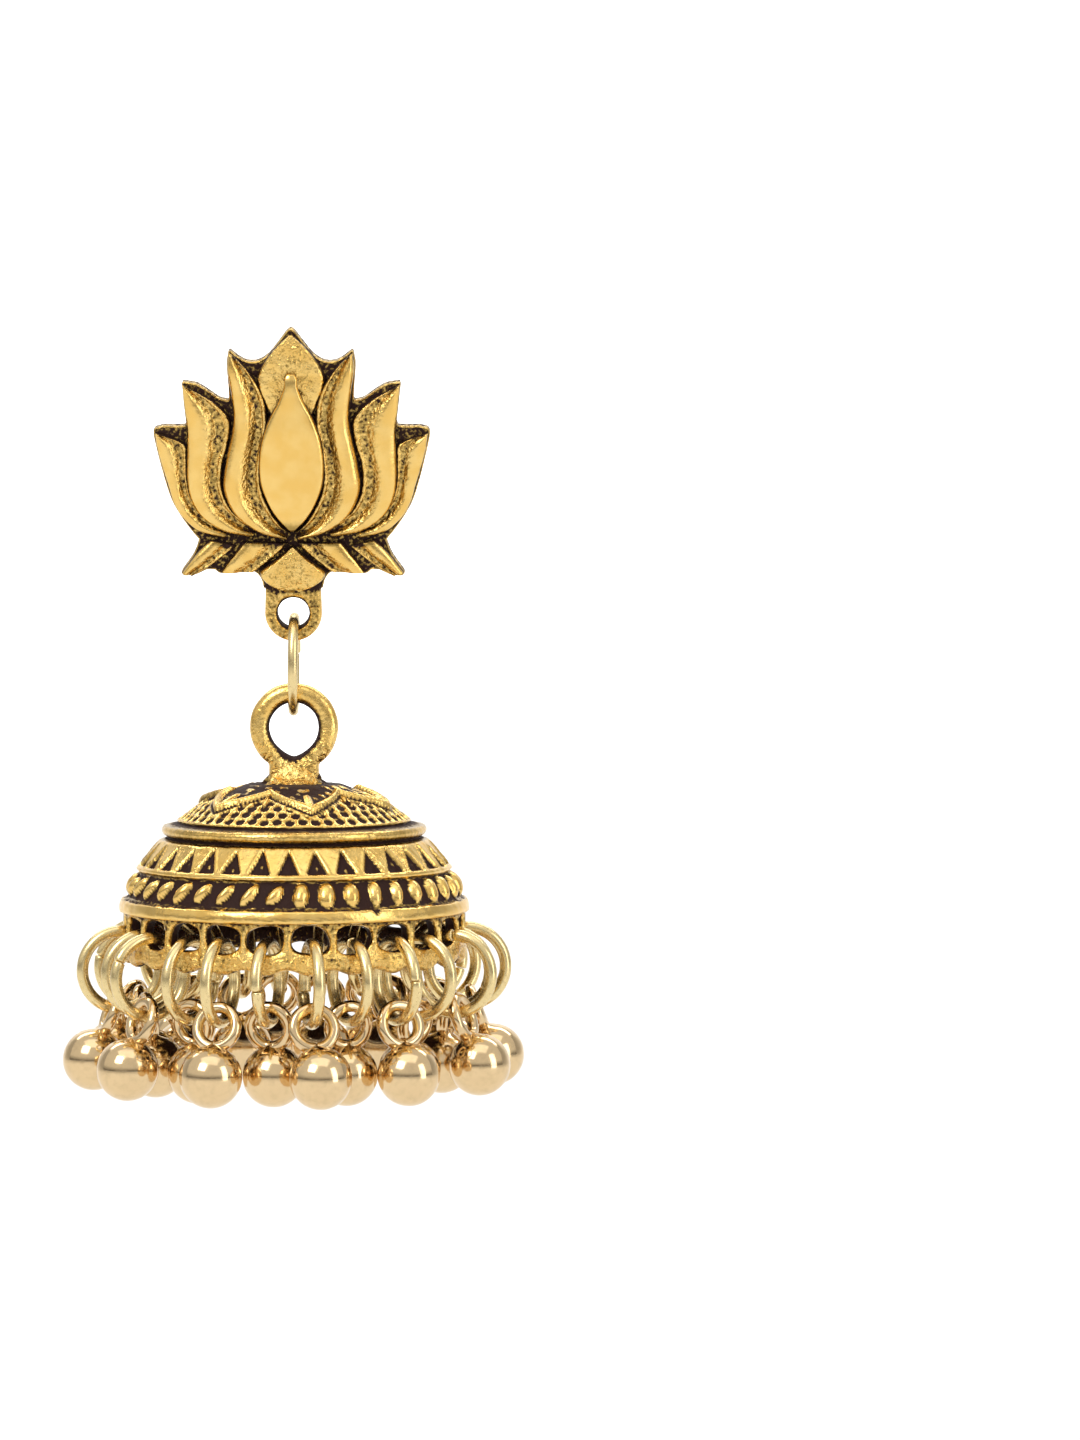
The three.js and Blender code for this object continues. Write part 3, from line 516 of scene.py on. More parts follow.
def eye(skin):
    """The hanging eye: a ring whose section is a rounded box, from the hole out to a radius that runs
    out into shoulders on its upper half."""
    phi = np.linspace(0, 2 * math.pi, 96, endpoint=False)[:, None]
    psi = np.linspace(0, 2 * math.pi, 28, endpoint=False)[None, :]
    up = np.clip(np.sin(phi), 1e-3, 1)
    flare = np.minimum((EYE_RADIUS - 0.08 * up) / np.maximum(np.abs(np.cos(phi)), 1e-3), EYE_REACH / up)
    outer = np.where(np.sin(phi) > 0, flare, EYE_RADIUS)
    middle, half = (outer + EYE_HOLE_RADIUS) / 2, (outer - EYE_HOLE_RADIUS) / 2
    radius = middle + half * squared(np.cos(psi), 0.7)
    cheek = np.abs(np.sin(psi)) ** 4
    y = -EYE_THICKNESS / 2 * (1 + squared(np.sin(psi), 0.6) * (1 - 0.16 * cheek))
    points = np.stack([radius * np.cos(phi), y + 0 * radius, radius * np.sin(phi) - EYE_DROP], -1)
    points[..., 1] += 0.04 * uneven(points, 0.8, 5) * cheek
    # The hole's inner wall and the eye's top, where it runs up under the leaves, are painted dark as shade;
    # the cheeks' darkness is the dark finish in their pits
    wall = step(-0.6, -0.9, np.cos(psi))
    root = step(1.45, 2.0, (points[..., 2] + EYE_DROP))
    shade = np.clip(0.05 + 0.35 * cheek + wall + 0.8 * root, 0, 1)
    skin.grid(points, shade, 0.2 + 0.8 * cheek + 0 * radius, ring=True, tube=True)


def lathe(profile, columns=48):
    """A profile of radius and place, turned round the Y axis."""
    phi = np.linspace(0, 2 * math.pi, columns, endpoint=False)[None, :]
    radius, y = np.asarray(profile, float).T[..., None]
    return np.stack([radius * np.cos(phi), y + 0 * phi, radius * np.sin(phi)], -1)


def rounded(profile, rows):
    """A profile with more rows: cubic pieces through its points along their distance."""
    points = np.asarray(profile, float)
    reach = np.concatenate([[0], np.cumsum(np.linalg.norm(np.diff(points, axis=0), axis=1))])
    at = np.union1d(np.linspace(0, reach[-1], rows), reach)
    return np.stack([between(at, np.stack([reach, column], 1)) for column in points.T], -1)


def wire_ring(skin, width, height, wire, seam, gap, rows=64, columns=14):
    """A bent wire round the X axis: a circle carried round an oval, from one cut end to the other. Its
    two ends stand a little aside of each other, with their edges broken."""
    spread = gap / (width / 2)
    past, share = np.array(WIRE_END).T
    whole = np.linspace(spread + WIRE_END_REACH, math.tau - spread - WIRE_END_REACH, rows)
    phi = np.concatenate([spread + past, whole, math.tau - spread - past[::-1]])[:, None]
    grow = np.concatenate([share, np.ones(rows), share[::-1]])[:, None]
    psi = np.linspace(0, math.tau, columns, endpoint=False)[None, :]
    aside = 0.07 * wire * np.cos(phi / 2)
    reach = wire / 2 * grow * np.cos(psi)
    turn = phi + math.radians(seam)
    y = np.cos(turn) * (width / 2 + reach)
    z = np.sin(turn) * (height / 2 + reach)
    x = wire / 2 * grow * np.sin(psi) + aside
    # The cut ends are painted a little darker, as shade in the gap between them
    skin.grid(np.stack([x + 0 * y, y, z], -1), 0.15 * (1 - grow) + 0 * y, 0.15, ring=True)


def profile_lengths():
    """Distance down the outer profile of each of its named places."""
    shares = np.array([row[:2] for row in DOME_OUTSIDE.values()]) * (DOME_RADIUS, DOME_HEIGHT)
    walked = np.concatenate([[0], np.cumsum(np.linalg.norm(np.diff(shares, axis=0), axis=1))])
    return dict(zip(DOME_OUTSIDE, walked)), shares, walked


def inner_radius(drop):
    """Radius of the dome's inner face at a drop below the crown."""
    r, z = np.array(DOME_INSIDE).T
    inner = DOME_RADIUS - DOME_WALL
    return inner * np.interp((drop - DOME_WALL) / (DOME_HEIGHT - DOME_WALL), z, r)


def outer_radius(drop):
    """Radius of the pierced rim's outer face at a drop below the crown."""
    return DOME_RADIUS * np.interp(drop / DOME_HEIGHT, (DOME_OUTSIDE["rim_top"][1], 1.0), (0.98, 0.985))


def round_axis(angle, radius, drop):
    """Points at an angle in degrees from the front, a radius and a drop below the crown."""
    a = np.radians(angle)
    return np.stack(np.broadcast_arrays(radius * np.sin(a), -radius * np.cos(a), -drop), -1)


def crown_relief(angle, radius, v, places, noise):
    """Height and darkness on the crown: polished chevron ribs with a cut line under them, a dark field
    with gold flecks above them, and rows of pits below."""
    off, _ = wrapped(angle, CHEVRON_COUNT, CHEVRON_PHASE)
    share = np.abs(off) / (180 / CHEVRON_COUNT)
    line = CHEVRON_HIGH + (CHEVRON_LOW - CHEVRON_HIGH) * share ** 0.95
    below = (v - line) * CHEVRON_LEAN
    rib = np.sqrt(np.clip(1 - (below / RIB_HALF_WIDTH) ** 2, 0, 1))
    cut = np.exp(-(((below - CUT_PLACE) / CUT_WIDTH) ** 2))
    above = step(-0.24, -0.34, below)
    flecks = step(0.25, 0.6, noise)
    height = RIB_HEIGHT * rib - FIELD_SINK * cut + above * (FLECK_HEIGHT * flecks - FIELD_SINK)
    dark = np.maximum(cut, above * (1 - 0.9 * flecks))
    from_valley = (off - 180 / CHEVRON_COUNT * np.sign(off)) * np.radians(1) * radius
    stem = np.exp(-((from_valley / STEM_HALF_WIDTH) ** 2)) * step(4.8, 5.4, v) * step(7.2, 6.6, v)
    height = np.maximum(height, STEM_HEIGHT * stem)
    dark = np.where(stem > 0.45, 0.0, np.maximum(dark, step(0.03, 0.25, stem) * above))
    for place, count, turn in PIT_ROWS:
        aside, number = wrapped(angle, count, turn)
        wander = 0.06 * np.sin(number * 2.4 + place)
        gap = np.hypot(aside * np.radians(1) * radius, v - place - wander)
        pit = step(PIT_EDGE, PIT_FLOOR, gap) * step(0.5, 0.7, below)
        height = height - PIT_DEPTH * pit
        dark = np.maximum(dark, pit)
    inside = step(places["crown_edge"] + 0.02, places["crown_edge"] - 0.1, v)
    return height * inside, dark * inside


def triangle_relief(angle, radius, v, places, noise):
    """Height and darkness on the triangle band: sunk triangles with raised sides and a small flake."""
    aside, number = wrapped(angle, TRIANGLE_COUNT)
    x = aside * np.radians(1) * radius + 0.05 * np.sin(number * 1.7)
    share = (v - places["band_top"]) / (places["band_low"] - places["band_top"])
    top = 0.06 + 0.05 * np.sin(number * 2.9)
    inner = TRIANGLE_HALF_WIDTH * (share - top) / (TRIANGLE_FOOT - top) - np.abs(x)
    inside = step(-0.03, 0.08, inner) * step(0.86, 0.81, share)
    side = np.exp(-(((inner + 0.13) / 0.08) ** 2))
    side = side * step(top - 0.1, top + 0.1, share) * step(0.86, 0.8, share)
    flake = np.exp(-((x - 0.06) / 0.13) ** 2 - ((share - 0.62 - 0.06 * np.sin(number * 4.1)) / 0.1) ** 2)
    base = step(0.84, 0.92, share) * step(1.04, 0.98, share)
    band = step(-0.02, 0.03, share) * step(1.02, 0.98, share)
    sunk = -TRIANGLE_SINK * inside * (1 - 0.5 * flake)
    height = band * (sunk + TRIANGLE_EDGE * side) + BASE_EDGE * base
    return height, band * inside * (1 - 0.75 * flake * step(-0.2, 0.3, noise))


def grain_relief(angle, radius, v, places):
    """Height and darkness on the dark band: slanting lozenges on the left, upright rounds on the right."""
    aside, number = wrapped(angle, GRAIN_COUNT, 180 / GRAIN_COUNT)
    left = step(4, -4, ((angle + 180) % 360) - 180)
    middle = (places["floor_top"] + places["floor_low"]) / 2
    x = aside * np.radians(1) * radius
    y = v - middle - 0.04 * np.sin(number * 3.3)
    slant = np.radians(GRAIN_SLANT + GRAIN_LEFT_SLANT * left)
    across = x * np.cos(slant) + y * np.sin(slant)
    down = -x * np.sin(slant) + y * np.cos(slant)
    wide = (GRAIN_HALF_WIDTH + GRAIN_EXTRA_WIDTH * (1 - left)) * (1 + 0.12 * np.sin(number * 1.3))
    tall = (GRAIN_HALF_LENGTH - 0.02 * left) * (1 + 0.06 * np.sin(number * 2.2))
    body = np.clip(1 - (np.abs(across) / wide) ** 1.9 - (np.abs(down) / tall) ** 2.1, 0, 1) ** 0.55
    return GRAIN_HEIGHT * body, step(0.05, 0.35, body)


def dome_outside(skin):
    """Outer face: the profile turned round the axis, wavering a little along itself, and raised along its
    normal by the sum of the bands' reliefs."""
    places, shares, walked = profile_lengths()
    counts = [row[2] for row in DOME_OUTSIDE.values()]
    spans = [np.linspace(a, b, n, endpoint=False) for a, b, n in zip(walked[:-1], walked[1:], counts)]
    rows = np.concatenate(spans + [walked[-1:]])[:, None]
    angle = (np.arange(COLUMNS) * 360.0 / COLUMNS)[None, :]
    radius = np.interp(rows, walked, shares[:, 0])
    rough = round_axis(angle, radius, np.interp(rows, walked, shares[:, 1]) + 0 * angle)
    loose = step(2.0, 4.0, rows) * step(walked[-1], walked[-1] - 0.4, rows)
    v = rows + loose * (0.075 * uneven(rough, 2.6, 11) + 0.035 * uneven(rough, 0.9, 12))
    radius, drop = np.interp(v, walked, shares[:, 0]), np.interp(v, walked, shares[:, 1])
    reach = 0.16
    dr = np.interp(v + reach, walked, shares[:, 0]) - np.interp(v - reach, walked, shares[:, 0])
    dz = np.interp(v + reach, walked, shares[:, 1]) - np.interp(v - reach, walked, shares[:, 1])
    length = np.maximum(np.hypot(dr, dz), 1e-6)
    noise = uneven(rough, 0.75, 13)
    crown, crown_dark = crown_relief(angle, radius, v, places, noise)
    triangles, triangle_dark = triangle_relief(angle, radius, v, places, noise)
    grain, grain_gold = grain_relief(angle, radius, v, places)
    floor = step(places["floor_top"] - 0.1, places["floor_top"] + 0.1, v)
    floor = floor * step(places["floor_low"] + 0.1, places["floor_low"] - 0.1, v)
    from_nick = (angle + 180) % 360 - 180 - NICK_ANGLE
    notch = 0.5 * np.clip(1 - np.abs(from_nick / NICK_HALF_ANGLE), 0, 1)
    nick = step(0.0, 0.06, places["girdle_top"] - 0.1 + notch - v)
    nick = nick * step(places["floor_low"], places["girdle_top"], v)
    rounds = sum(
        high * np.clip(1 - ((2 * v - places[a] - places[b]) / (places[b] - places[a])) ** 2, 0, 1)
        for a, b, high in ROUNDED_BANDS
    )
    height = crown + triangles + grain * floor - NICK_DEPTH * nick + rounds + 0.018 * noise
    height = height * step(walked[-1], walked[-1] - 0.3, rows) * step(2.2, 3.2, rows)
    dark = np.interp(v + 0.05 * noise, walked, [row[3] for row in DOME_OUTSIDE.values()])
    on_crown = step(places["crown_edge"] + 0.05, places["crown_edge"] - 0.05, v)
    dark = np.maximum(dark * (1 - on_crown * step(3, 4, v)), crown_dark)
    dark = np.maximum(dark * (1 - floor), np.maximum(triangle_dark, floor * (1 - grain_gold)))
    dark = np.maximum(dark, nick) - 1.2 * rounds
    radius = radius + height * dz / length
    drop = drop - height * dr / length
    dark = np.clip(dark, 0, 1)
    skin.grid(round_axis(angle, radius, drop), dark, 0.1 + 0.25 * dark + 0.2 * on_crown, ring=True)


def dome_inside(skin):
    """Inner face: its profile turned round the axis, from the holes' cells up to the pole, painted fully
    dark as the shade inside the dome.
    """
    drop = np.concatenate([np.linspace(CELL_TOP, DOME_WALL + 0.3, 16), [DOME_WALL]])[:, None]
    angle = (np.arange(COLUMNS) * 360.0 / COLUMNS)[None, :]
    skin.grid(round_axis(angle, inner_radius(drop), drop + 0 * angle), 1.0, 0.1, ring=True)


def rim_holes(skin):
    """Each cell of the rim: rings that run from the cell's edge to an uneven oval, through the wall and
    back out to the cell's edge on the inner face."""
    per_cell = COLUMNS // DROPS
    sides = 8
    edge = np.linspace(-1, 1, per_cell + 1)
    flank = np.linspace(-1, 1, sides + 1)
    a = np.concatenate([edge[:-1], np.ones(sides), edge[:0:-1], -np.ones(sides)])
    b = np.concatenate([-np.ones(per_cell), flank[:-1], np.ones(per_cell), flank[:0:-1]])
    half_angle = 180.0 / DROPS
    middle = (CELL_TOP + CELL_FOOT) / 2
    half_cell = (CELL_FOOT - CELL_TOP) / 2
    to_hole, through, shade = np.array(HOLE_SECTION).T[..., None]
    width = DOME_RADIUS * math.radians(half_angle)
    way = np.arctan2(b * half_cell - (HOLE_DROP - middle), a * width)
    for cell in range(DROPS):
        uneven_oval = 1 + 0.05 * np.sin(3 * way + cell * 2.1) + 0.04 * np.sin(2 * way + cell * 3.7)
        hole_x = HOLE_HALF_WIDTH * uneven_oval * squared(np.cos(way), 0.75) / width
        hole_z = HOLE_DROP + HOLE_HALF_HEIGHT * uneven_oval * squared(np.sin(way), 0.85)
        turn = half_angle * (a * (1 - to_hole) + hole_x * to_hole)
        drop = (middle + b * half_cell) * (1 - to_hole) + hole_z * to_hole
        radius = outer_radius(drop) * (1 - through) + inner_radius(drop) * through
        centre = (cell + 0.5) * 2 * half_angle
        points = round_axis(centre + turn, radius, drop)
        # Painted shadow at the top of each cell under the girdle, and painted shade through the hole and on
        # the inner face
        top_shadow = 0.5 * step(-0.1, -0.8, b) * step(0.9, 0.3, to_hole)
        skin.grid(points, np.clip(shade + top_shadow + 0 * turn, 0, 1), 0.8 - 0.7 * shade, ring=True)


def rim_lip(skin):
    """The lip: a rounded section carried round the axis, let down under each hole."""
    angle = (np.arange(COLUMNS) * 360.0 / COLUMNS)[None, :]
    across, down, shade = np.array(LIP_SECTION).T[..., None]
    lift = SCALLOP_DEPTH * (0.5 + 0.5 * np.cos(np.radians(DROPS * angle)))
    foot = DOME_HEIGHT - lift
    drop = CELL_FOOT + down * (foot - CELL_FOOT)
    radius = outer_radius(drop) * (1 - across) + inner_radius(drop) * across
    points = round_axis(angle, radius, drop)
    swell = down * (1 - down) * 4 * (across < 0.5)
    points *= 1 + (0.013 * uneven(points, 0.9, 21) * swell)[..., None] * np.array([1, 1, 0])
    blotch = 0.35 * step(0.2, 0.9, uneven(points, 1.3, 22))
    skin.grid(points, np.clip(shade + blotch, 0, 1), 1.0, ring=True)


def loop(skin):
    """The dome's loop: a ring whose section is a rounded box, on a foot that spreads over the crown. The
    ring's hole draws down to a point at its lowest place."""
    phi = np.linspace(0, math.tau, 120, endpoint=False)[:, None]
    psi = np.linspace(0, math.tau, 28, endpoint=False)[None, :]
    low = np.exp(-(np.abs((phi - 1.5 * math.pi) / 0.45) ** 1.5))
    down = np.clip(-np.sin(phi), 1e-3, 1)
    shoulder = np.minimum(LOOP_NECK_HALF / np.maximum(np.abs(np.cos(phi)), 1e-3), LOOP_NECK_REACH / down)
    centre = LOOP_BAR / 2 - LOOP_RADIUS
    hole = LOOP_RADIUS - LOOP_BAR
    hole = hole + (LOOP_HOLE_FOOT + centre - hole) * low
    outer = np.where(np.sin(phi) < 0, np.maximum(shoulder, LOOP_RADIUS), LOOP_RADIUS)
    radius = (outer + hole) / 2 + (outer - hole) / 2 * squared(np.cos(psi), 0.9)
    y = LOOP_THICKNESS / 2 * squared(np.sin(psi), 0.9)
    points = np.stack([radius * np.cos(phi), y + 0 * radius, radius * np.sin(phi) + centre], -1)
    worn = uneven(points, 1.6, 31)
    points += 0.03 * worn[..., None] * np.stack([np.cos(phi), 0 * phi, np.sin(phi)], -1)
    # The hole's inner wall and its pointed foot are painted dark as shade; the worn blotches are uneven
    # tone
    shade = 0.08 + 0.9 * step(-0.4, -0.95, np.cos(psi)) + 0.2 * low + 0.12 * step(0.2, 0.8, worn)
    rough = 0.25 + 0.65 * step(-0.3, 0.6, -np.sin(phi)) + 0 * radius
    skin.grid(points, np.clip(shade + 0 * radius, 0, 1), rough, ring=True, tube=True)
    table = np.array(LOOP_FOOT)
    top, base = table[0, 0], table[-1, 0]
    at = np.linspace(top, base, 30)
    wide, deep = (between(at, table[:, [0, column]])[:, None] for column in (1, 2))
    turn = np.linspace(0, math.tau, 64, endpoint=False)[None, :]
    foot = np.stack([wide * np.cos(turn), deep * np.sin(turn), -at[:, None] + 0 * turn], -1)
    foot *= 1 + 0.1 * uneven(foot, 0.7, 32)[..., None] * np.array([1, 1, 0])
    foot = np.concatenate([foot, 0 * foot[-1:] + (0, 0, -base)])
    # Painted shade down the foot's sides and where it meets the crown
    crevice_shade = 0.7 * step(0.75, 1.0, np.abs(np.cos(turn)))
    crevice_shade = crevice_shade + 0.8 * step(6.25, 6.7, np.append(at, base))[:, None]
    skin.grid(foot, np.clip(0.12 + crevice_shade, 0, 1), 1.0, ring=True)


def ball_drop(skin):
    """A ball with a small neck of solder under its eye: a sphere whose radius grows in a soft peak at the
    top, and a ring of wire across the frame's rings."""
    polar = np.linspace(0, math.pi, 30)[:, None]
    turn = np.linspace(0, math.tau, 44, endpoint=False)[None, :]
    radius = BALL_RADIUS + 0.22 * np.exp(-((polar / 0.2) ** 2))
    ball = np.stack([radius * np.sin(polar) * np.cos(turn), radius * np.sin(polar) * np.sin(turn),
                     radius * np.cos(polar) - BALL_NECK + 0 * turn], -1)
    skin.grid(ball, 0.0, 0.0, ring=True)
    eye_ring = Skin()
    wire_ring(eye_ring, 2 * BALL_EYE_RADIUS, 2 * BALL_EYE_RADIUS, BALL_EYE_WIRE, -90, 0.004, 44, 14)
    skin.grid(eye_ring.points[0].reshape(-1, 14, 3) @ rotation("Z", 90).T, 0.05, 0.1, ring=True)
    hook = RING_WIRE / 2 + BALL_EYE_WIRE / 2 + HANG_GAP
    return skin.moved(shift=(0, 0, hook - BALL_EYE_RADIUS))


def hanging_place(index):
    """Turn and shift of a hole's ring and of its drop: the seat is turned to its hole, the ring swings on
    the seat, and the drop slides on the ring and leans by its own tilt."""
    swing, turn, tilt, sway = HANGING[index]
    to_hole = rotation("Z", (index + 0.5) * 360 / DROPS - 180)
    seat = rotation("Z", turn) @ rotation("X", -swing)
    seat_radius = (0.985 * DOME_RADIUS + DOME_RADIUS - DOME_WALL) / 2
    seat_height = -LOOP_TO_CROWN - DOME_HEIGHT + LIP_HEIGHT + RING_WIRE / 2 + SEAT_GAP
    seat_at = np.array([0, -seat_radius, seat_height])
    slide = math.radians(tilt * 0.6 - swing)
    drop_at = np.array([0, -RING_RADIUS * math.sin(slide), -RING_RADIUS * (1 + math.cos(slide))])
    drop_turn = rotation("X", swing - tilt) @ rotation("Y", -sway)
    origin = np.array(LOOP_CENTRE)
    ring = to_hole @ seat, origin + to_hole @ (seat_at + seat @ np.array([0, 0, -RING_RADIUS]))
    drop = to_hole @ seat @ drop_turn, origin + to_hole @ (seat_at + seat @ drop_at)
    return ring, drop


class Finish:
    """A material and short ways to add nodes to it."""

    def __init__(self, name):
        self.material = bpy.data.materials.get(name) or bpy.data.materials.new(name)
        self.material.use_nodes = True
        self.nodes, self.links = self.material.node_tree.nodes, self.material.node_tree.links
        self.nodes.clear()
        self.shader = self.nodes.new("ShaderNodeBsdfPrincipled")
        output = self.nodes.new("ShaderNodeOutputMaterial")
        self.links.new(self.shader.outputs[0], output.inputs["Surface"])
        self.place = self.nodes.new("ShaderNodeTexCoord").outputs["Object"]

    def put(self, socket, value):
        if isinstance(value, bpy.types.NodeSocket):
            self.links.new(value, socket)
        else:
            socket.default_value = value

    def noise(self, size_mm, detail=2.0):
        node = self.nodes.new("ShaderNodeTexNoise")
        self.links.new(self.place, node.inputs["Vector"])
        node.inputs["Scale"].default_value = 1 / (size_mm * MM)
        node.inputs["Detail"].default_value = detail
        return node.outputs["Fac"]

    def attribute(self, name):
        node = self.nodes.new("ShaderNodeAttribute")
        node.attribute_name = name
        return node.outputs["Fac"]

    def math(self, operation, a, b):
        node = self.nodes.new("ShaderNodeMath")
        node.operation = operation
        self.put(node.inputs[0], a)
        self.put(node.inputs[1], b)
        return node.outputs[0]

    def step(self, value, low, high, bottom=0.0, top=1.0):
        node = self.nodes.new("ShaderNodeMapRange")
        node.interpolation_type = "SMOOTHSTEP"
        for socket, number in zip(node.inputs, (value, low, high, bottom, top)):
            self.put(socket, number)
        return node.outputs["Result"]

    def blend(self, share, low, high):
        node = self.nodes.new("ShaderNodeMix")
        node.data_type = "RGBA"
        self.put(node.inputs["Factor"], share)
        self.put(node.inputs["A"], low)
        self.put(node.inputs["B"], high)
        return node.outputs["Result"]

    def bump(self, height, depth_mm, strength):
        node = self.nodes.new("ShaderNodeBump")
        node.inputs["Distance"].default_value = depth_mm * MM
        node.inputs["Strength"].default_value = strength
        self.put(node.inputs["Height"], height)
        self.put(self.shader.inputs["Normal"], node.outputs["Normal"])

    def set(self, **values):
        for name, value in values.items():
            self.put(self.shader.inputs[name.replace("_", " ")], value)
        return self.material


def antique_gold(finishes):
    """Cast gold colour that is worn bright where it stands up and brown-black in its hollows, with specks
    and pits where the casting is rough. Its deep gold and dark colours also paint shade where the per-point
    darkness stands for it: painted shade inside the dome and its holes, on the inner walls of the eye and
    the loop, and in the gaps between parts."""
    finish = Finish("antique_gold")
    names = ("gold", "gold_worn", "deep_gold_and_shade", "patina_and_shade")
    gold, pale, deep, patina_and_shade = (tuple(getattr(finishes, name)) + (1.0,) for name in names)
    cloud, grit = finish.noise(1.3, 3.0), finish.noise(0.26, 3.0)
    dark, pits = finish.attribute("dark"), finish.attribute("pits")
    spread = finish.math("ADD", finish.math("MULTIPLY", pits, 1.5), 0.35)
    edge = finish.math("ADD", dark, finish.math("MULTIPLY", finish.math("SUBTRACT", grit, 0.5), spread))
    # Share of the dark colour: the dark finish in the hollows, and painted shade inside the dome, in the
    # holes and gaps and on inner walls
    patina_and_shade_share = finish.step(edge, 0.5, 0.72)
    bright = finish.blend(finish.step(cloud, 0.3, 0.7), gold, pale)
    # Deep gold for half-dark places: a thin film of the dark finish, and painted half shade such as under
    # the girdle
    toned = finish.blend(finish.step(edge, 0.1, 0.55), bright, deep)
    finish.bump(finish.math("MULTIPLY", grit, finish.math("ADD", pits, 0.05)), 0.2, 0.7)
    haze = finish.math("MULTIPLY", cloud, 0.1)
    return finish.set(
        Base_Color=finish.blend(patina_and_shade_share, toned, patina_and_shade),
        Metallic=finish.step(patina_and_shade_share, 0.2, 0.9, 1.0, 0.0),
        Specular_IOR_Level=0.2,
        Roughness=finish.math("ADD", finish.step(patina_and_shade_share, 0.1, 0.9, 0.17, 0.6), haze),
    )


def drawn_metal(name, colour, roughness, scratch_mm):
    """Bright wire or polished metal with faint scratches."""
    finish = Finish(name)
    mark = finish.noise(scratch_mm, 3.0)
    dark, pits = finish.attribute("dark"), finish.attribute("pits")
    finish.bump(finish.math("MULTIPLY", mark, finish.math("ADD", pits, 0.04)), 0.04, 0.25)
    # A darker copy of the metal, for the scratches and for the per-point darkness, which paints shade at
    # the rings' cut ends
    shade = tuple(0.62 * part for part in colour) + (1.0,)
    share = finish.math("ADD", finish.math("MULTIPLY", finish.step(mark, 0.4, 0.75), 0.22), dark)
    return finish.set(
        Base_Color=finish.blend(share, tuple(colour) + (1.0,), shade),
        Metallic=1.0,
        Roughness=finish.step(mark, 0.3, 0.8, roughness, roughness + 0.12),
    )


def clear_plastic(colour):
    """Clear moulded plastic."""
    return Finish("post_plastic").set(
        Base_Color=tuple(colour) + (1.0,), Roughness=0.08, IOR=1.46, Transmission_Weight=0.92,
    )


class LotusSettings(bpy.types.PropertyGroup):
    """Sizes of the lotus."""

    crest_height: FloatProperty(
        name="Crest height", description="How far the middle petal stands off the plate",
        default=1.45 * MM, min=0.5 * MM, max=2.0 * MM, unit="LENGTH", precision=5,
    )


class FringeSettings(bpy.types.PropertyGroup):
    """Sizes of the rings' cut ends."""

    seam_gap: FloatProperty(
        name="Seam gap", description="Half the gap between the cut ends of a jump ring",
        default=0.03 * MM, min=0.0, max=0.2 * MM, unit="LENGTH", precision=5,
    )


class FinishSettings(bpy.types.PropertyGroup):
    """Colours of the metals and of the clutch."""

    gold: FloatVectorProperty(
        name="Gold", description="Worn, raised places of the castings",
        default=(0.87, 0.55, 0.15), min=0, max=1, subtype="COLOR",
    )
    gold_worn: FloatVectorProperty(
        name="Pale gold", description="The most polished places of the castings",
        default=(0.92, 0.63, 0.21), min=0, max=1, subtype="COLOR",
    )
    # Also paints half shade where the per-point darkness stands for shade
    deep_gold_and_shade: FloatVectorProperty(
        name="Deep gold", description="Gold under a thin film of the dark finish",
        default=(0.37, 0.24, 0.065), min=0, max=1, subtype="COLOR",
    )
    # Also paints full shade: painted shade inside the dome, in the holes and gaps, and on inner walls
    patina_and_shade: FloatVectorProperty(
        name="Patina", description="Dark finish that stays in the hollows",
        default=(0.026, 0.008, 0.005), min=0, max=1, subtype="COLOR",
    )
    ring_brass: FloatVectorProperty(
        name="Ring brass", description="Jump rings and link",
        default=(0.84, 0.66, 0.33), min=0, max=1, subtype="COLOR",
    )
    champagne: FloatVectorProperty(
        name="Champagne gold", description="Balls and their eyes",
        default=(0.79, 0.585, 0.33), min=0, max=1, subtype="COLOR",
    )
    plastic: FloatVectorProperty(
        name="Clutch plastic", description="Clear plastic of the clutch",
        default=(0.96, 0.98, 1.0), min=0, max=1, subtype="COLOR",
    )


class StudioSettings(bpy.types.PropertyGroup):
    """The plain stage."""

    distance: FloatProperty(
        name="Camera distance", description="From the camera to the earring",
        default=0.45, min=0.2, max=3.0, unit="LENGTH",
    )
    elevation: FloatProperty(
        name="Camera elevation", description="Angle that the camera looks down",
        default=math.radians(3.0), min=-1.0, max=1.5, subtype="ANGLE",
    )
    floor_drop: FloatProperty(
        name="Floor drop", description="From the ear post down to the floor",
        default=0.115, min=0.06, max=1.0, unit="LENGTH",
    )


class EarringSettings(bpy.types.PropertyGroup):
    """Everything that the operators read."""

    lotus: PointerProperty(type=LotusSettings)
    fringe: PointerProperty(type=FringeSettings)
    finishes: PointerProperty(type=FinishSettings)
    studio: PointerProperty(type=StudioSettings)


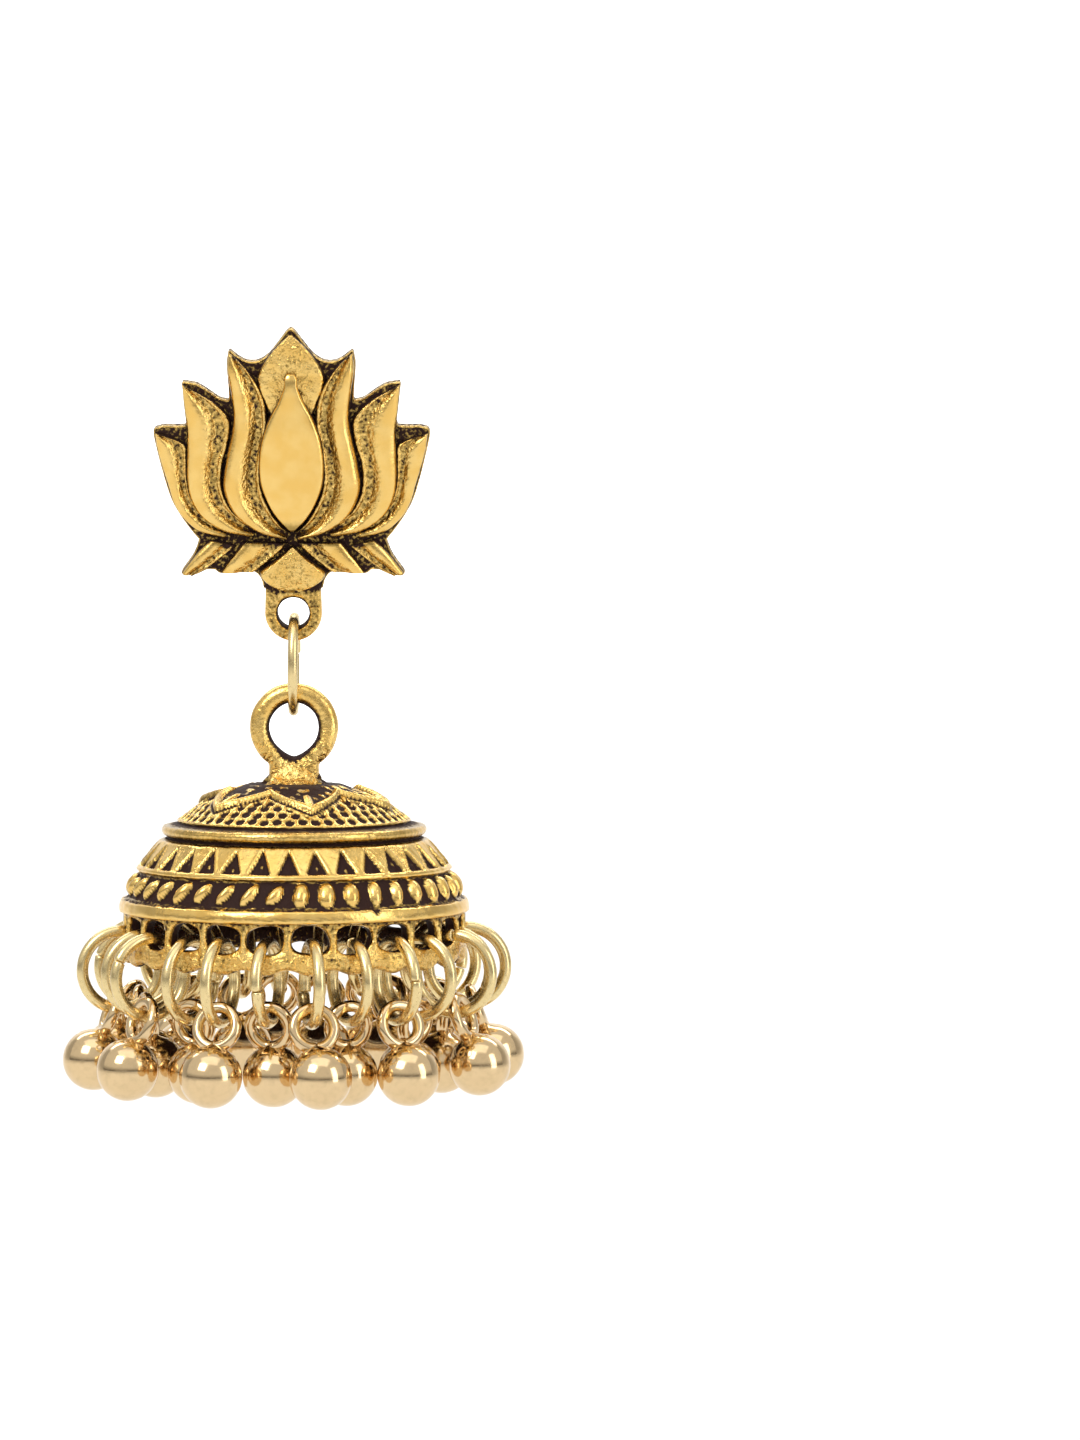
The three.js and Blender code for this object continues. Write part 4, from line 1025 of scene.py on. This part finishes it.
class EARRING_OT_lotus(bpy.types.Operator):
    """Build the cast lotus with its eye and the ear post"""

    bl_idname = "earring.lotus"
    bl_label = "Lotus"

    def execute(self, context):
        settings = context.scene.earring
        crest = settings.lotus.crest_height / MM
        finish = antique_gold(settings.finishes)
        skin = Skin()
        for number, (name, rows) in enumerate(SIDE_PETALS.items()):
            for side in (1, -1):
                petal(skin, rows, RIDGED, crest, side, 40 + 2 * number + side)
        for name, across in (("back", PITTED), ("front", CROWNED), ("lower", PITTED)):
            middle_petal(skin, MIDDLE_PETALS[name], across, crest, 60 + len(name))
        eye(skin)
        skin.moved(rotation("X", LOTUS_LEAN)).piece("lotus", "stud", "antique_gold", finish, "lotus_stud")
        back_plate(rotation("X", LOTUS_LEAN)).data.materials.append(finish)
        post = Skin()
        pad, wire, length = POST_PAD_RADIUS, POST_RADIUS, POST_LENGTH
        profile = [(0, -0.5), (pad, -0.5), (pad, 0.1), (pad * 0.92, 0.22), (0.55, 0.42), (wire, 0.75)]
        profile += [(wire, length * 0.77), (wire - 0.1, length * 0.785), (wire - 0.1, length * 0.82)]
        profile += [(wire, length * 0.84), (wire, length - 0.25), (wire * 0.8, length - 0.08), (0, length)]
        post.grid(lathe(rounded(profile, 60), 32), 0.05, 0.3, ring=True)
        post.moved(rotation("X", LOTUS_LEAN)).piece("ear_post", "stud", "antique_gold", finish)
        return {"FINISHED"}


class EARRING_OT_clutch(bpy.types.Operator):
    """Build the clear clutch on the post"""

    bl_idname = "earring.clutch"
    bl_label = "Clutch"

    def execute(self, context):
        r, l, bore = CLUTCH_RADIUS, CLUTCH_LENGTH, CLUTCH_BORE
        profile = [(bore, 0), (0.88 * r, 0), (0.97 * r, 0.05 * l), (r, 0.15 * l), (0.97 * r, 0.25 * l)]
        profile += [(0.88 * r, 0.3 * l), (0.64 * r, 0.36 * l), (0.6 * r, 0.5 * l), (0.6 * r, 0.78 * l)]
        profile += [(0.52 * r, 0.93 * l), (0.4 * r, l), (bore, l), (bore, 0.5 * l), (bore, 0)]
        skin = Skin()
        skin.grid(lathe(rounded(profile, 60)), ring=True)
        turn = rotation("X", LOTUS_LEAN)
        skin.moved(turn, turn @ np.array([0, CLUTCH_PLACE, 0]))
        finish = clear_plastic(context.scene.earring.finishes.plastic)
        skin.piece("clutch", "clutch", "post_plastic", finish, "post_clutch")
        return {"FINISHED"}


class EARRING_OT_link(bpy.types.Operator):
    """Build the oval link"""

    bl_idname = "earring.link"
    bl_label = "Link"

    def execute(self, context):
        skin = Skin()
        wire_ring(skin, LINK_WIDTH - LINK_WIRE, LINK_LENGTH - LINK_WIRE, LINK_WIRE, 12, 0.03, 110, 18)
        finish = drawn_metal("ring_brass", context.scene.earring.finishes.ring_brass, 0.2, 0.3)
        skin.moved(shift=LINK_CENTRE).piece("oval_link", "link", "ring_brass", finish, "link_ring")
        return {"FINISHED"}


class EARRING_OT_dome(bpy.types.Operator):
    """Build the cast dome with its bands, pierced rim and loop"""

    bl_idname = "earring.dome"
    bl_label = "Dome"

    def execute(self, context):
        finish = antique_gold(context.scene.earring.finishes)
        crown = np.array(LOOP_CENTRE) - (0, 0, LOOP_TO_CROWN)
        skin = Skin()
        dome_outside(skin)
        dome_inside(skin)
        rim_holes(skin)
        rim_lip(skin)
        skin.moved(shift=crown).piece("dome", "jhumka", "antique_gold", finish, "jhumka_dome")
        top = Skin()
        loop(top)
        top.moved(shift=LOOP_CENTRE).piece("dome_loop", "jhumka", "antique_gold", finish)
        return {"FINISHED"}


class EARRING_OT_fringe(bpy.types.Operator):
    """Build the jump rings and the ball drops"""

    bl_idname = "earring.fringe"
    bl_label = "Rings and drops"

    def execute(self, context):
        settings = context.scene.earring
        brass = drawn_metal("ring_brass", settings.finishes.ring_brass, 0.2, 0.3)
        champagne = drawn_metal("ball_gold", settings.finishes.champagne, 0.1, 0.5)
        for index in range(DROPS):
            (ring_turn, ring_at), (drop_turn, drop_at) = hanging_place(index)
            ring, drop = Skin(), Skin()
            seam = SEAM_START + (index * SEAM_STEP) % SEAM_RANGE
            gap = settings.fringe.seam_gap / MM
            wire_ring(ring, 2 * RING_RADIUS, 2 * RING_RADIUS, RING_WIRE, seam, gap)
            label = f"{index + 1:02d}"
            ring.moved(ring_turn, ring_at)
            ring.piece(f"jump_ring_{label}", "jhumka", "ring_brass", brass, f"rim_ring_{label}")
            ball_drop(drop).moved(drop_turn, drop_at)
            drop.piece(f"drop_{label}", "jhumka", "ball_gold", champagne, f"ball_drop_{label}")
        return {"FINISHED"}


def floor_sheet(drop):
    """The floor: a straight run, a quarter circle and an upright wall, carried straight across."""
    arc = np.linspace(0, math.pi / 2, 17)
    run = np.concatenate([[-FLOOR_REACH], WALL_DEPTH - WALL_BEND + WALL_BEND * np.sin(arc), [WALL_DEPTH]])
    rise = np.concatenate([[0], WALL_BEND - WALL_BEND * np.cos(arc), [WALL_HEIGHT]]) - drop
    across = np.array([-FLOOR_REACH, FLOOR_REACH])[None, :]
    sheet = np.stack(np.broadcast_arrays(across, run[:, None], rise[:, None]), -1)
    mesh = bpy.data.meshes.new("floor")
    quads = [(2 * r, 2 * r + 1, 2 * r + 3, 2 * r + 2) for r in range(len(run) - 1)]
    mesh.from_pydata(sheet.reshape(-1, 3).tolist(), [], quads)
    mesh.polygons.foreach_set("use_smooth", np.ones(len(quads), bool))
    mesh.materials.append(Finish("paper").set(Base_Color=(*FLOOR_WHITE, 1), Roughness=0.8))
    linked("floor", mesh)


def white_surround(drop):
    """A white wall round the stage that glows evenly by its own emission, shows only to the camera and
    sheds no light: a circle carried straight up.
    """
    turn = np.linspace(0, math.tau, SURROUND_SIDES, endpoint=False)
    circle = SURROUND_RADIUS * np.stack([np.cos(turn), np.sin(turn), 0 * turn], -1)
    points = np.concatenate([circle + (0, 0, height) for height in (-drop, SURROUND_HEIGHT)])
    here = np.arange(SURROUND_SIDES)
    after = (here + 1) % SURROUND_SIDES
    quads = np.stack([after, here, here + SURROUND_SIDES, after + SURROUND_SIDES], -1)
    mesh = bpy.data.meshes.new("surround")
    mesh.from_pydata(points.tolist(), [], quads.tolist())
    white = (1, 1, 1, 1)
    finish = Finish("white_paper").set(Base_Color=white, Emission_Color=white, Emission_Strength=1.0)
    mesh.materials.append(finish)
    made = linked("surround", mesh)
    made.visible_diffuse = made.visible_glossy = made.visible_shadow = False


def area_light(name, place, target, size, power):
    """A soft white light in the form of a rectangle that looks at a point."""
    lamp = bpy.data.lights.new(name, "AREA")
    lamp.shape = "RECTANGLE"
    lamp.size, lamp.size_y = size
    lamp.energy = power
    made = linked(name, lamp)
    made.location = place
    made.rotation_euler = (Vector(target) - Vector(place)).to_track_quat("-Z", "Y").to_euler()


def studio_sky():
    """Light from all round that climbs from nearly dark at the horizon to bright above it."""
    world = bpy.data.worlds.new("studio")
    bpy.context.scene.world = world
    world.use_nodes = True
    nodes, links = world.node_tree.nodes, world.node_tree.links
    background = nodes["Background"]
    background.inputs["Color"].default_value = (*SKY_COLOUR, 1)
    ways = nodes.new("ShaderNodeSeparateXYZ")
    links.new(nodes.new("ShaderNodeTexCoord").outputs["Generated"], ways.inputs[0])
    climb = nodes.new("ShaderNodeMapRange")
    links.new(ways.outputs["Z"], climb.inputs["Value"])
    for name, value in SKY_CLIMB.items():
        climb.inputs[name].default_value = value
    links.new(climb.outputs["Result"], background.inputs["Strength"])


def aim_camera(distance, elevation):
    """The camera, level across, looking down at the middle of the photograph's frame."""
    frame_height = FRAME_PIXELS[1] / PIXELS_PER_MM * MM
    camera = bpy.data.cameras.new("camera")
    camera.sensor_fit = "VERTICAL"
    camera.sensor_height = SENSOR_HEIGHT
    camera.lens = SENSOR_HEIGHT * distance / frame_height
    camera.clip_start, camera.clip_end = 0.05, 10.0
    aside = (FRAME_PIXELS[0] / 2 - POST_PIXEL[0]) / PIXELS_PER_MM
    up = (POST_PIXEL[1] - FRAME_PIXELS[1] / 2) / PIXELS_PER_MM
    away = Vector((0, -math.cos(elevation), math.sin(elevation))) * distance
    made = linked("camera", camera)
    made.location = Vector((aside, FRAME_DEPTH, up)) * MM + away
    made.rotation_euler = (-away).to_track_quat("-Z", "Y").to_euler()
    bpy.context.scene.camera = made


class EARRING_OT_stage(bpy.types.Operator):
    """Build the floor, the lights and the camera"""

    bl_idname = "earring.stage"
    bl_label = "Stage"

    def execute(self, context):
        studio = context.scene.earring.studio
        floor_sheet(studio.floor_drop)
        white_surround(studio.floor_drop)
        for name, light in LIGHTS.items():
            area_light(name, *light)
        studio_sky()
        context.scene.view_settings.view_transform = "Standard"
        aim_camera(studio.distance, studio.elevation)
        return {"FINISHED"}


class EARRING_PT_sidebar(bpy.types.Panel):
    """Lists the pieces and their settings"""

    bl_idname = "EARRING_PT_sidebar"
    bl_label = "Jhumka Earring"
    bl_space_type = "VIEW_3D"
    bl_region_type = "UI"
    bl_category = "Earring"

    def draw(self, context):
        settings = context.scene.earring
        for group in (settings.lotus, settings.fringe, settings.finishes, settings.studio):
            box = self.layout.box()
            for name in group.__annotations__:
                box.prop(group, name)
        for operator in OPERATORS:
            self.layout.operator(operator.bl_idname)


OPERATORS = (
    EARRING_OT_lotus, EARRING_OT_clutch, EARRING_OT_link,
    EARRING_OT_dome, EARRING_OT_fringe, EARRING_OT_stage,
)
CLASSES = (
    LotusSettings, FringeSettings, FinishSettings, StudioSettings, EarringSettings,
    *OPERATORS, EARRING_PT_sidebar,
)


def register():
    for cls in CLASSES:
        bpy.utils.register_class(cls)
    bpy.types.Scene.earring = PointerProperty(type=EarringSettings)


def unregister():
    del bpy.types.Scene.earring
    for cls in reversed(CLASSES):
        bpy.utils.unregister_class(cls)


def main():
    register()
    bpy.ops.earring.lotus()
    bpy.ops.earring.clutch()
    bpy.ops.earring.link()
    bpy.ops.earring.dome()
    bpy.ops.earring.fringe()
    bpy.ops.earring.stage()


if __name__ == "__main__":
    main()
